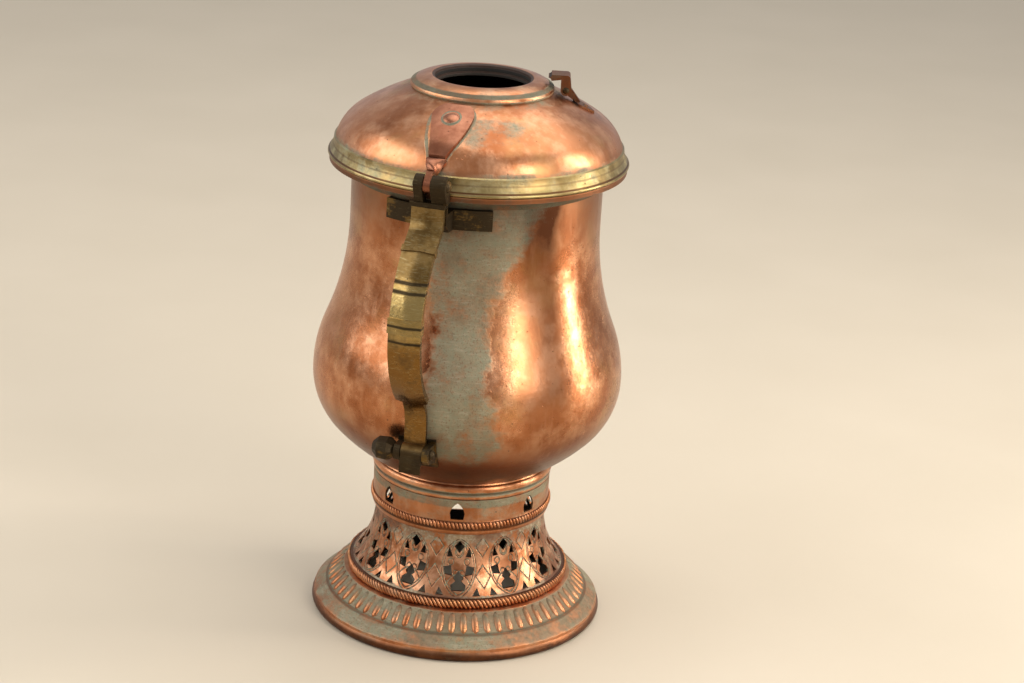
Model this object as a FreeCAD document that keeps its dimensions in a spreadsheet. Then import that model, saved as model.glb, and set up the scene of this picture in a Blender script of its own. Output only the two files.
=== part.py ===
import FreeCAD, Part
import math
import os
import Sketcher

# A raised copper charcoal smoker: pierced foot, pear-shaped body, hinged dome lid with a smoke hole.
# Origin: centre of the foot's underside. +Z is up and the handle is on the -Y side. Millimetres.

Vector = FreeCAD.Vector
doc = FreeCAD.newDocument("CharcoalSmoker")

sizes = [
    ("wall", 1.2, "thickness of the raised copper sheet"),
    ("footRadius", 79.9, "outside of the foot's rolled rim"),
    ("footRimHeight", 7.0, "height of the rolled rim at its outer corner"),
    ("footRimInner", 73.0, "inner radius of the rolled rim"),
    ("rimCorner", 1.3, "how far the rim's upper corner lies inside its outermost line"),
    ("skirtFlatRadius", 71.5, "where the plain border ends and the gadroons begin"),
    ("skirtFlatLevel", 12.9, "height of that line"),
    ("skirtTopRadius", 62.4, "where the gadroons end"),
    ("skirtTopLevel", 21.5, "height of the skirt's upper step"),
    ("bandFootRadius", 57.9, "pierced band at its foot"),
    ("bandFootLevel", 27.4, "bottom of the pierced band"),
    ("bandNeckRadius", 46.4, "pierced band at its neck"),
    ("bandNeckLevel", 57.0, "top of the pierced band"),
    ("bandFlareRadius", 48.0, "radius of the band's hollow curve"),
    ("medallionCount", 12, "openwork medallions round the band"),
    ("bandTurn", 18.0, "turn of the openwork about the axis, degrees"),
    ("ropeSeat", 0.9, "rise of the skirt's step to the lower rope wire"),
    ("lowerRopeProud", 2.7, "how far the lower rope wire stands off the band"),
    ("lowerRopeHeight", 4.9, "height of the lower rope wire"),
    ("upperRopeProud", 2.5, "how far the upper rope wire stands off the band"),
    ("upperRopeLevel", 60.2, "underside of the upper rope wire"),
    ("upperRopeHeight", 7.6, "height of the upper rope wire"),
    ("ventRadius", 48.2, "outside of the vent collar"),
    ("ventHeight", 12.2, "height of the vent collar"),
    ("ventCount", 7, "arched air vents"),
    ("ventWidth", 8.0, "width of one vent"),
    ("ventSill", 1.0, "metal left under a vent"),
    ("ventRise", 9.4, "height of one vent"),
    ("ventTurn", 15.2, "turn of the vents about the axis, degrees"),
    ("seatHeight", 9.0, "height of the moulding under the bowl"),
    ("seatProud", 0.8, "how far the seat moulding stands past the vent collar"),
    ("seatBore", 43.8, "air passage through the seat"),
    ("bowlFootRadius", 47.5, "bowl at its foot"),
    ("bowlShoulderRadius", 71.7, "bowl between foot and belly"),
    ("bowlShoulderRise", 19.0, "height of that point over the bowl's foot"),
    ("bellyRadius", 83.4, "widest part of the bowl"),
    ("bellyRise", 48.0, "height of the belly over the bowl's foot"),
    ("turnRise", 76.0, "height at which the bowl's curve reverses"),
    ("neckRise", 133.0, "height at which the neck runs straight"),
    ("neckRadius", 66.4, "outside of the neck"),
    ("bodyRise", 167.0, "height of the body over the bowl's foot"),
    ("ashHole", 38.0, "radius of the opening under the grate"),
    ("grateRadius", 45.0, "radius of the fire grate"),
    ("grateThickness", 2.0, "thickness of the fire grate"),
    ("grateHole", 3.2, "radius of one hole in the grate"),
    ("grateRivetRing", 41.0, "radius of the ring of grate rivets"),
    ("grateRivetRadius", 1.2, "radius of a grate rivet's shank"),
    ("rimMouldingRadius", 78.4, "outside of the moulding round the mouth"),
    ("rimMouldingHeight", 8.8, "height of that moulding"),
    ("mouthGap", 0.3, "gap between the closed lid and the body"),
    ("lidRingRadius", 79.3, "outside of the lid's flange, the widest part"),
    ("lidRingHeight", 9.6, "height of the lid's flange"),
    ("spigotGap", 0.8, "gap between the lid's spigot and the neck"),
    ("spigotDepth", 5.0, "how far the spigot reaches into the neck"),
    ("spigotWall", 1.4, "thickness of the spigot"),
    ("domeFootRadius", 75.3, "dome where it meets the flange"),
    ("domeShoulderRadius", 64.8, "dome where its shoulder ends"),
    ("domeShoulderRise", 14.0, "height of the shoulder over the dome's foot"),
    ("domeTopRadius", 37.3, "dome where it meets the collar"),
    ("domeRise", 27.9, "height of the dome"),
    ("domeShoulderCurve", 25.5, "radius of the dome's shoulder"),
    ("collarRadius", 36.3, "outside of the smoke hole's collar"),
    ("collarHeight", 6.2, "height of the collar"),
    ("smokeHole", 25.2, "radius of the smoke hole"),
    ("pinReach", 83.4, "distance of the lid's hinge pin from the axis"),
    ("pinRise", 6.5, "height of the hinge pin over the body's mouth"),
    ("pinRadius", 2.1, "radius of the hinge pin"),
    ("pinGap", 0.05, "running clearance round a hinge pin"),
    ("tongueWidth", 3.6, "thickness of the leaf's tongue on edge"),
    ("tongueGap", 0.35, "gap on each side of the tongue"),
    ("cheekRadius", 5.2, "round end of a hinge cheek"),
    ("leftCheek", 4.6, "thickness of the left hinge cheek"),
    ("rightCheek", 8.0, "thickness of the right hinge cheek"),
    ("leafThickness", 1.5, "thickness of the lid's leaf plate"),
    ("leafWidth", 22.0, "width of the leaf plate"),
    ("leafTop", 38.8, "distance of the leaf's upper end from the axis"),
    ("leafRivetReach", 51.5, "distance of the leaf's rivet from the axis"),
    ("leafRivetRadius", 3.0, "radius of the rivet's head"),
    ("armHeight", 10.6, "height of the bracket's arms"),
    ("armThickness", 3.2, "thickness of the bracket's arms"),
    ("armSpan", 48.0, "angle that the two arms cover, degrees"),
    ("strapWidth", 17.0, "width of the handle's strap"),
    ("strapThickness", 3.0, "thickness of the handle's strap at its edges"),
    ("strapRidge", 1.6, "height of the ridge down the strap"),
    ("gripReach", 112.0, "distance of the handle's outermost point from the axis"),
    ("gripLevel", 189.0, "height of that point"),
    ("gripTopReach", 83.8, "distance of the handle's top from the axis"),
    ("gripTopLevel", 245.0, "where the handle starts to curve away"),
    ("gripStepReach", 95.0, "distance of the strap's lower end from the axis"),
    ("gripStepLevel", 151.0, "height of the strap's lower end"),
    ("gripFootReach", 87.6, "distance of the handle's foot from the axis"),
    ("gripTurn", 6.6, "how far the handle curves away before it curves back"),
    ("tailWidth", 11.5, "width of the handle's lower arm"),
    ("tailReach", 93.6, "distance of the tail's tip from the axis"),
    ("tailDrop", 10.0, "how far the tail hangs under the lower pin"),
    ("ribRise", 1.1, "how far a rib stands off the strap"),
    ("upperRibTurn", 44.0, "upper rib, degrees up the handle's curve"),
    ("lowerRibTurn", 7.0, "lower rib, degrees up the handle's curve"),
    ("ledgeThickness", 2.5, "thickness of the ledge over the handle"),
    ("ledgeDrop", 2.7, "how far the ledge's top lies under the body's mouth"),
    ("lowerPinReach", 88.2, "distance of the lower pin from the axis"),
    ("lowerPinLevel", 121.0, "height of the lower pin"),
    ("lowerPinRadius", 2.3, "radius of the lower pin"),
    ("lowerEar", 3.4, "thickness of an ear of the lower bracket"),
    ("lowerEye", 4.8, "radius of the handle's eye round the lower pin"),
    ("lowerPlate", 1.6, "thickness of the lower bracket's plate"),
    ("capTurn", 105.0, "turn of the cap hinge from the handle, degrees"),
    ("capPinReach", 43.5, "distance of the cap's hinge pin from the axis"),
    ("capPinRise", 29.9, "height of the cap's pin over the dome's foot"),
    ("capPinRadius", 1.2, "radius of the cap's hinge pin"),
    ("capStrapWidth", 10.6, "width of the cap strap"),
    ("capTongueWidth", 2.6, "thickness of the small leaf's tongue"),
]

sheet = doc.addObject("Spreadsheet::Sheet", "Sizes")
for row, (alias, number, meaning) in enumerate(sizes, start=1):
    sheet.set(f"A{row}", meaning)
    sheet.set(f"B{row}", str(number))
    sheet.setAlias(f"B{row}", alias)
doc.recompute()


def size(expression):
    """The number that an expression on the sheet gives now."""
    return float(sheet.evalExpression(expression))


# Levels, stacked from the ground up, as expressions on the sheet.
ventLevel = "(Sizes.upperRopeLevel + Sizes.upperRopeHeight)"
seatLevel = f"({ventLevel} + Sizes.ventHeight)"
bowlLevel = f"({seatLevel} + Sizes.seatHeight)"
neckLevel = f"({bowlLevel} + Sizes.neckRise)"
mouthLevel = f"({bowlLevel} + Sizes.bodyRise)"
mouldingLevel = f"({mouthLevel} - Sizes.rimMouldingHeight)"
lidLevel = f"({mouthLevel} + Sizes.mouthGap)"
domeLevel = f"({lidLevel} + Sizes.lidRingHeight)"
domeTopLevel = f"({domeLevel} + Sizes.domeRise)"
lipLevel = f"({domeTopLevel} + Sizes.collarHeight)"
pinLevel = f"({mouthLevel} + Sizes.pinRise)"
capPinLevel = f"({domeLevel} + Sizes.capPinRise)"
spigotRadius = "(Sizes.neckRadius - Sizes.wall - Sizes.spigotGap)"
eyeHole = "(Sizes.pinRadius + Sizes.pinGap)"


def newBody(label):
    body = doc.addObject("PartDesign::Body", label)
    body.Label = label
    return body


def newSketch(body, name, role, lift=None):
    """A sketch on one of the body's own planes, lifted off it by an expression."""
    plane = [item for item in body.Origin.OriginFeatures if item.Role == role][0]
    sketch = body.newObject("Sketcher::SketchObject", name)
    sketch.AttachmentSupport = (plane, [""])
    sketch.MapMode = "FlatFace"
    if lift:
        sketch.setExpression("AttachmentOffset.Base.z", lift)
    return sketch


def arcBetween(start, end, tangent=None, radius=None, turn=None):
    """Circle through start and end, either leaving start along tangent or with a given radius and turn."""
    chord = end - start
    left = Vector(-chord.y, chord.x, 0).normalize()
    if tangent is not None:
        normal = Vector(-tangent.y, tangent.x, 0)
        signed = chord.Length ** 2 / (2 * chord.dot(normal))
        centre = start + normal * signed
        turn = "left" if signed > 0 else "right"
        radius = abs(signed)
    else:
        side = 1 if turn == "left" else -1
        centre = (start + end) / 2 + left * side * math.sqrt(max(radius ** 2 - chord.Length ** 2 / 4, 0))
    circle = Part.Circle(centre, Vector(0, 0, 1), radius)
    first, last = (start, end) if turn == "left" else (end, start)
    angles = [math.atan2(p.y - centre.y, p.x - centre.x) for p in (first, last)]
    spoke = end - centre
    leaving = Vector(-spoke.y, spoke.x, 0) if turn == "left" else Vector(spoke.y, -spoke.x, 0)
    return Part.ArcOfCircle(circle, *angles), leaving.normalize(), turn


def pin(sketch, kind, geometry, point, name, expression):
    """Ties one coordinate of a sketch point to an expression, or to the axis where that is 0."""
    if expression == "0":
        axis = -2 if kind == "DistanceX" else -1
        sketch.addConstraint(Sketcher.Constraint("PointOnObject", geometry, point, axis))
        return
    number = sketch.addConstraint(Sketcher.Constraint(kind, -1, 1, geometry, point, size(expression)))
    sketch.renameConstraint(number, name)
    sketch.setExpression(f"Constraints.{name}", expression)


def outline(sketch, steps, closed=True, prefix="p"):
    """Draws lines and arcs through steps: (x, y) is a line, (x, y, "tangent") an arc that leaves the
    last piece smoothly, and (x, y, radius, turn) an arc of that radius turning left or right."""
    corners = [Vector(size(step[0]), size(step[1]), 0) for step in steps]
    pieces = []
    heading = None
    count = len(steps) if closed else len(steps) - 1
    for index in range(count):
        start, end = corners[index], corners[(index + 1) % len(steps)]
        step = steps[(index + 1) % len(steps)]
        if len(step) == 3 and index + 1 < len(steps):
            curve, heading, turn = arcBetween(start, end, tangent=heading)
        elif len(step) == 4:
            curve, heading, turn = arcBetween(start, end, radius=size(step[2]), turn=step[3])
        else:
            curve, heading, turn = Part.LineSegment(start, end), (end - start).normalize(), "left"
        number = sketch.addGeometry(curve)
        ends = (1, 2) if turn == "left" else (2, 1)
        pieces.append((number, ends[0], ends[1], step))
        if len(step) == 4:
            radius = sketch.addConstraint(Sketcher.Constraint("Radius", number, size(step[2])))
            sketch.renameConstraint(radius, f"{prefix}r{index}")
            sketch.setExpression(f"Constraints.{prefix}r{index}", step[2])
    for index, (number, start, end, step) in enumerate(pieces):
        if not closed and index == 0:
            continue
        before = pieces[index - 1]
        smooth = len(step) == 3 and index > 0
        kind = "Tangent" if smooth else "Coincident"
        sketch.addConstraint(Sketcher.Constraint(kind, before[0], before[2], number, start))
    for index, (number, start, end, step) in enumerate(pieces):
        pin(sketch, "DistanceX", number, start, f"{prefix}x{index}", steps[index][0])
        pin(sketch, "DistanceY", number, start, f"{prefix}y{index}", steps[index][1])
    if not closed:
        number, start, end, step = pieces[-1]
        pin(sketch, "DistanceX", number, end, f"{prefix}x{count}", steps[-1][0])
        pin(sketch, "DistanceY", number, end, f"{prefix}y{count}", steps[-1][1])
    return sketch


def circle(sketch, x, y, radius, prefix="c"):
    centre = Vector(size(x), size(y), 0)
    number = sketch.addGeometry(Part.Circle(centre, Vector(0, 0, 1), size(radius)))
    pin(sketch, "DistanceX", number, 3, f"{prefix}x", x)
    pin(sketch, "DistanceY", number, 3, f"{prefix}y", y)
    bound = sketch.addConstraint(Sketcher.Constraint("Radius", number, size(radius)))
    sketch.renameConstraint(bound, f"{prefix}r")
    sketch.setExpression(f"Constraints.{prefix}r", radius)
    return sketch


def revolve(body, name, steps):
    """Turns a closed profile of (radius, height) points about the axis."""
    profile = outline(newSketch(body, f"{name}Profile", "XZ_Plane"), steps)
    turned = body.newObject("PartDesign::Revolution", name)
    turned.Profile = profile
    turned.ReferenceAxis = (profile, ["V_Axis"])
    turned.Angle = 360
    return turned


def ring(label, steps):
    body = newBody(label)
    revolve(body, f"{label}_ring", steps)
    return body


def pad(body, name, sketch, length, symmetric=False, backwards=False):
    feature = body.newObject("PartDesign::Pad", name)
    feature.Profile = sketch
    feature.SideType = "Symmetric" if symmetric else "One side"
    feature.Reversed = backwards
    feature.setExpression("Length", length)
    return feature


def cut(body, name, sketch, length, symmetric=False, backwards=False):
    """A pocket that must take material away."""
    doc.recompute()
    before = body.Shape.Volume
    feature = body.newObject("PartDesign::Pocket", name)
    feature.Profile = sketch
    feature.SideType = "Symmetric" if symmetric else "One side"
    feature.Reversed = backwards
    feature.setExpression("Length", length)
    doc.recompute()
    if body.Shape.Volume > before - 0.01:
        raise RuntimeError(f"{name} cuts nothing")
    return feature


def repeatRound(body, name, features, count):
    pattern = body.newObject("PartDesign::PolarPattern", name)
    pattern.Originals = features
    axis = [item for item in body.Origin.OriginFeatures if item.Role == "Z_Axis"][0]
    pattern.Axis = (axis, [""])
    pattern.Angle = 360
    pattern.setExpression("Occurrences", count)
    body.Tip = pattern
    return pattern


def hollow(body, name, solid, openFaces, thickness="Sizes.wall"):
    """Leaves a wall inside a solid, open at the flat faces that openFaces picks."""
    doc.recompute()
    names = [f"Face{i}" for i, face in enumerate(solid.Shape.Faces, start=1) if openFaces(face)]
    shell = body.newObject("PartDesign::Thickness", name)
    shell.Base = (solid, names)
    shell.setExpression("Value", thickness)
    shell.Reversed = True
    shell.Join = 1
    doc.recompute()
    if shell.Shape.Volume > solid.Shape.Volume:
        raise RuntimeError(f"{name} grew outwards")
    return shell


def turn(body, angle):
    body.Placement = FreeCAD.Placement(Vector(), FreeCAD.Rotation(Vector(0, 0, 1), size(angle)))


# ---- foot -----------------------------------------------------------------------------------------

# The skirt's border slopes from the rim up to the gadroons; the rolled rim lies under that slope.
rimCorner = "(Sizes.footRadius - Sizes.rimCorner)"
borderRun = f"({rimCorner} - Sizes.skirtFlatRadius)"
borderClimb = "(Sizes.skirtFlatLevel - Sizes.footRimHeight)"
borderSlope = f"({borderClimb} / {borderRun})"
underBorder = f"(Sizes.wall * sqrt(1 + {borderSlope} ^ 2))"


def footRimRing():
    seat = f"(Sizes.footRimHeight - {underBorder})"
    return ring("foot_rim_ring", [
        ("Sizes.footRimInner", "0"),
        (f"{rimCorner} - Sizes.rimCorner / 2", "0"),
        ("Sizes.footRadius", "Sizes.footRimHeight * 0.4", "Sizes.footRimHeight * 0.45", "left"),
        (rimCorner, seat, "Sizes.footRimHeight * 0.6", "left"),
        ("Sizes.footRimInner", f"{seat} + ({rimCorner} - Sizes.footRimInner) * {borderSlope}"),
    ])


ropeLevel = "(Sizes.skirtTopLevel + Sizes.ropeSeat)"


def footSkirt():
    return ring("foot_skirt", [
        (rimCorner, f"Sizes.footRimHeight - {underBorder}"),
        (rimCorner, "Sizes.footRimHeight"),
        ("Sizes.skirtFlatRadius", "Sizes.skirtFlatLevel"),
        ("Sizes.skirtTopRadius", "Sizes.skirtTopLevel"),
        ("Sizes.bandFootRadius", ropeLevel),
        ("Sizes.bandFootRadius", f"{ropeLevel} - Sizes.wall"),
        ("Sizes.skirtTopRadius - Sizes.wall * 0.6", "Sizes.skirtTopLevel - Sizes.wall"),
        ("Sizes.skirtFlatRadius", f"Sizes.skirtFlatLevel - {underBorder}"),
    ])


def lowerRopeRing():
    flat = "(Sizes.bandFootRadius + Sizes.lowerRopeProud * 0.45)"
    bulge = "(Sizes.lowerRopeProud * 0.55)"
    top = f"{ropeLevel} + Sizes.lowerRopeHeight"
    return ring("lower_rope_ring", [
        ("Sizes.bandFootRadius", ropeLevel),
        (flat, ropeLevel),
        (flat, top, f"(Sizes.lowerRopeHeight ^ 2 / 4 + {bulge} ^ 2) / (2 * {bulge})", "left"),
        ("Sizes.bandFootRadius", top),
    ])


# The openwork is drawn for a band this high and this far round, and stretched to the real one.
openworkHeight = 29.6
openworkPitch = 30.3
bandScale = f"((Sizes.bandNeckLevel - Sizes.bandFootLevel) / {openworkHeight})"
pitchScale = f"(2 * pi * Sizes.bandFootRadius / Sizes.medallionCount / {openworkPitch})"


def openworkHole(sketch, steps, prefix):
    """One hole of the openwork: steps are (across, up) from the band's foot."""
    placed = [(f"{x} * {pitchScale}", f"Sizes.bandFootLevel + {y} * {bandScale}") for x, y in steps]
    outline(sketch, placed, prefix=prefix)


def piercedBand():
    body = newBody("pierced_band")
    revolve(body, "band_sheet", [
        ("Sizes.bandFootRadius - Sizes.wall", "Sizes.skirtTopLevel - Sizes.wall"),
        ("Sizes.bandFootRadius", "Sizes.skirtTopLevel - Sizes.wall"),
        ("Sizes.bandFootRadius", "Sizes.bandFootLevel"),
        ("Sizes.bandNeckRadius", "Sizes.bandNeckLevel", "Sizes.bandFlareRadius", "right"),
        ("Sizes.bandNeckRadius", ventLevel),
        ("Sizes.bandNeckRadius - Sizes.wall", ventLevel),
        ("Sizes.bandNeckRadius - Sizes.wall", "Sizes.bandNeckLevel"),
        ("Sizes.bandFootRadius - Sizes.wall", "Sizes.bandFootLevel",
         "Sizes.bandFlareRadius + Sizes.wall", "left"),
    ])
    holes = newSketch(body, "openwork", "XZ_Plane")
    openworkHole(holes, [(-3.6, 3.0), (3.6, 3.0), (4.2, 5.6), (0.0, 8.8), (-4.2, 5.6)], "spade")
    for side, name in ((-1, "left"), (1, "right")):
        def across(steps):
            return [(side * x, y) for x, y in steps]
        openworkHole(holes, across([(3.4, 10.0), (7.4, 10.6), (8.4, 14.2), (4.2, 15.2)]), f"mid{name}")
        openworkHole(holes, across([(3.4, 19.6), (6.6, 19.4), (5.4, 25.0)]), f"slit{name}")
        openworkHole(holes, across([(7.7, 0.8), (12.1, 0.8), (10.2, 4.6)]), f"base{name}")
    holesBeside = newSketch(body, "openworkBeside", "XZ_Plane")
    openworkHole(holesBeside, [(0.0, 6.0), (2.9, 8.8), (0.0, 12.8), (-2.9, 8.8)], "kite")
    openworkHole(holesBeside, [(0.0, 21.6), (2.9, 25.2), (0.0, 28.4), (-2.9, 25.2)], "diamond")
    first = cut(body, "medallion", holes, "Sizes.footRadius")
    repeatRound(body, "medallions", [first], "Sizes.medallionCount")
    second = cut(body, "spandrel", holesBeside, "Sizes.footRadius")
    repeatRound(body, "spandrels", [second], "Sizes.medallionCount")
    turn(body, "Sizes.bandTurn")
    return body


def upperRopeRing():
    bulge = "(Sizes.upperRopeProud * 0.35)"
    edge = f"(Sizes.bandNeckRadius + Sizes.upperRopeProud - {bulge})"
    return ring("upper_rope_ring", [
        ("Sizes.bandNeckRadius", "Sizes.upperRopeLevel"),
        (edge, "Sizes.upperRopeLevel"),
        (edge, ventLevel, f"(Sizes.upperRopeHeight ^ 2 / 4 + {bulge} ^ 2) / (2 * {bulge})", "left"),
        ("Sizes.bandNeckRadius", ventLevel),
    ])


def ventCollar():
    body = newBody("vent_collar")
    revolve(body, "collar_sheet", [
        ("Sizes.ventRadius - Sizes.wall", ventLevel),
        ("Sizes.ventRadius", ventLevel),
        ("Sizes.ventRadius", seatLevel),
        ("Sizes.ventRadius - Sizes.wall", seatLevel),
    ])
    sill = f"{ventLevel} + Sizes.ventSill"
    spring = f"{sill} + Sizes.ventRise * 0.35"
    vent = newSketch(body, "arch", "XZ_Plane")
    outline(vent, [
        ("-Sizes.ventWidth / 2 + 0.6", sill),
        ("Sizes.ventWidth / 2 - 0.6", sill),
        ("Sizes.ventWidth / 2", spring),
        ("0", f"{sill} + Sizes.ventRise", "Sizes.ventWidth * 1.1", "left"),
        ("-Sizes.ventWidth / 2", spring, "Sizes.ventWidth * 1.1", "left"),
    ])
    first = cut(body, "vent", vent, "Sizes.footRadius")
    repeatRound(body, "vents", [first], "Sizes.ventCount")
    turn(body, "Sizes.ventTurn")
    return body


def seatRing():
    wide = "(Sizes.ventRadius + Sizes.seatProud)"
    waist = "Sizes.ventRadius - 0.4"
    return ring("seat_ring", [
        ("Sizes.seatBore", seatLevel),
        (waist, seatLevel),
        (waist, f"{seatLevel} + Sizes.seatHeight * 0.36", "Sizes.seatHeight * 0.24", "left"),
        (waist, f"{bowlLevel} - 0.6", "Sizes.seatHeight * 0.32", "left"),
        ("Sizes.bowlFootRadius", bowlLevel),
        ("Sizes.seatBore", bowlLevel),
    ])


grateRivetCount = 4


# ---- body -----------------------------------------------------------------------------------------

def bodyShell():
    body = newBody("body_shell")
    bellyLevel = f"({bowlLevel} + Sizes.bellyRise)"
    turnLevel = f"({bowlLevel} + Sizes.turnRise)"
    share = "((Sizes.neckRise - Sizes.turnRise) / (Sizes.neckRise - Sizes.bellyRise))"
    turnRadius = f"(Sizes.neckRadius + (Sizes.bellyRadius - Sizes.neckRadius) * {share})"
    solid = revolve(body, "bowl", [
        ("0", mouthLevel),
        ("Sizes.neckRadius", mouthLevel),
        ("Sizes.neckRadius", neckLevel),
        (turnRadius, turnLevel, "tangent"),
        ("Sizes.bellyRadius", bellyLevel, "tangent"),
        ("Sizes.bowlShoulderRadius", f"{bowlLevel} + Sizes.bowlShoulderRise", "tangent"),
        ("Sizes.bowlFootRadius", bowlLevel, "tangent"),
        ("0", bowlLevel),
    ])
    top = size(mouthLevel)
    shell = hollow(body, "bowl_wall", solid, lambda face: abs(face.CenterOfMass.z - top) < 0.01)
    mouth = circle(newSketch(body, "ash_opening", "XY_Plane", bowlLevel), "0", "0", "Sizes.ashHole")
    cut(body, "ash_hole", mouth, "Sizes.wall * 3", symmetric=True)
    rivet = newSketch(body, "rivet_place", "XY_Plane", bowlLevel)
    circle(rivet, "Sizes.grateRivetRing", "0", "Sizes.grateRivetRadius")
    first = cut(body, "rivet_hole", rivet, "Sizes.wall * 3", symmetric=True)
    repeatRound(body, "rivet_holes", [first], str(grateRivetCount))
    return body


def grate():
    body = newBody("grate")
    floor = f"{bowlLevel} + Sizes.wall"
    disc = circle(newSketch(body, "disc", "XY_Plane", floor), "0", "0", "Sizes.grateRadius")
    pad(body, "plate", disc, "Sizes.grateThickness")
    middle = circle(newSketch(body, "middle", "XY_Plane", floor), "0", "0", "Sizes.grateHole")
    cut(body, "middle_hole", middle, "Sizes.grateThickness", backwards=True)
    for name, share, count in (("inner", 0.25, 6), ("centre", 0.5, 12), ("outer", 0.75, 18)):
        hole = newSketch(body, f"{name}_ring", "XY_Plane", floor)
        circle(hole, f"Sizes.ashHole * {share}", "0", "Sizes.grateHole")
        first = cut(body, f"{name}_hole", hole, "Sizes.grateThickness", backwards=True)
        repeatRound(body, f"{name}_holes", [first], str(count))
    rivet = newSketch(body, "rivet_place", "XY_Plane", floor)
    circle(rivet, "Sizes.grateRivetRing", "0", "Sizes.grateRivetRadius")
    first = cut(body, "rivet_hole", rivet, "Sizes.grateThickness", backwards=True)
    repeatRound(body, "rivet_holes", [first], str(grateRivetCount))
    return body


# ---- mouth and lid ----------------------------------------------------------------------------------

def bodyRimRing():
    return ring("body_rim_ring", [
        ("Sizes.neckRadius", mouldingLevel),
        ("Sizes.neckRadius + 1", mouldingLevel),
        ("Sizes.rimMouldingRadius", f"{mouthLevel} - 2.6", "Sizes.rimMouldingHeight * 1.1", "right"),
        ("Sizes.rimMouldingRadius", mouthLevel),
        ("Sizes.neckRadius", mouthLevel),
    ])


def lidRimRing():
    spigotInner = f"{spigotRadius} - Sizes.spigotWall"
    domeInner = "Sizes.domeFootRadius - Sizes.wall"
    return ring("lid_rim_ring", [
        (spigotInner, f"{mouthLevel} - Sizes.spigotDepth"),
        (spigotRadius, f"{mouthLevel} - Sizes.spigotDepth"),
        (spigotRadius, lidLevel),
        ("Sizes.lidRingRadius - 0.8", lidLevel),
        ("Sizes.lidRingRadius", f"{lidLevel} + 0.9", "1.1", "left"),
        ("Sizes.lidRingRadius - 0.6", f"{lidLevel} + 2.0", "1.4", "left"),
        ("Sizes.domeFootRadius + 0.9", f"{domeLevel} - 0.6", "Sizes.lidRingHeight * 1.2", "right"),
        ("Sizes.domeFootRadius", domeLevel),
        (domeInner, domeLevel),
        (domeInner, f"{lidLevel} + 1.6"),
        (spigotInner, f"{lidLevel} + 1.6"),
    ])


shoulderTop = f"({domeLevel} + Sizes.domeShoulderRise)"


def domeSolid(body, name):
    return revolve(body, name, [
        ("0", domeLevel),
        ("Sizes.domeFootRadius", domeLevel),
        ("Sizes.domeShoulderRadius", shoulderTop, "Sizes.domeShoulderCurve", "left"),
        ("Sizes.domeTopRadius", domeTopLevel, "tangent"),
        ("0", domeTopLevel),
    ])


def isFlat(face):
    return face.Surface.TypeId == "Part::GeomPlane"


def lidDome():
    """The dome's sheet: a shoulder arc and a flatter crown arc outside, and their offsets inside."""
    run = "(Sizes.domeFootRadius - Sizes.domeShoulderRadius)"
    curve = "Sizes.domeShoulderCurve"
    lean = f"sqrt({curve} ^ 2 / ({run} ^ 2 + Sizes.domeShoulderRise ^ 2) - 0.25)"
    middleReach = f"((Sizes.domeFootRadius + Sizes.domeShoulderRadius) / 2 - Sizes.domeShoulderRise * {lean})"
    middleLevel = f"({domeLevel} + Sizes.domeShoulderRise / 2 - {run} * {lean})"
    outwards = f"((Sizes.domeShoulderRadius - {middleReach}) / {curve})"
    upwards = f"(({shoulderTop} - {middleLevel}) / {curve})"
    crownRun = "(Sizes.domeShoulderRadius - Sizes.domeTopRadius)"
    crownRise = "(Sizes.domeRise - Sizes.domeShoulderRise)"
    crown = (f"(({crownRun} ^ 2 + {crownRise} ^ 2)"
             f" / (2 * ({crownRun} * {outwards} - {crownRise} * {upwards})))")
    crownReach = f"(Sizes.domeShoulderRadius - {crown} * {outwards})"
    crownLevel = f"({shoulderTop} - {crown} * {upwards})"
    innerFoot = f"({middleReach} + sqrt(({curve} - Sizes.wall) ^ 2 - ({domeLevel} - {middleLevel}) ^ 2))"
    innerTop = f"({crownReach} + sqrt(({crown} - Sizes.wall) ^ 2 - ({domeTopLevel} - {crownLevel}) ^ 2))"
    return ring("lid_dome", [
        ("Sizes.domeFootRadius", domeLevel),
        ("Sizes.domeShoulderRadius", shoulderTop, curve, "left"),
        ("Sizes.domeTopRadius", domeTopLevel, crown, "left"),
        (innerTop, domeTopLevel),
        (f"Sizes.domeShoulderRadius - Sizes.wall * {outwards}",
         f"{shoulderTop} - Sizes.wall * {upwards}", f"{crown} - Sizes.wall", "right"),
        (innerFoot, domeLevel, f"{curve} - Sizes.wall", "right"),
    ])


def chimneyCollar():
    return ring("chimney_collar", [
        ("Sizes.smokeHole", domeTopLevel),
        ("Sizes.domeTopRadius", domeTopLevel),
        ("Sizes.collarRadius", f"{domeTopLevel} + Sizes.collarHeight * 0.53",
         "Sizes.collarHeight * 0.34", "left"),
        ("Sizes.smokeHole + 2.4", lipLevel, "Sizes.collarHeight * 3", "left"),
        ("Sizes.smokeHole", f"{lipLevel} - 0.8", "2.6", "left"),
    ])


# ---- leaves on the dome -----------------------------------------------------------------------------

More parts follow.
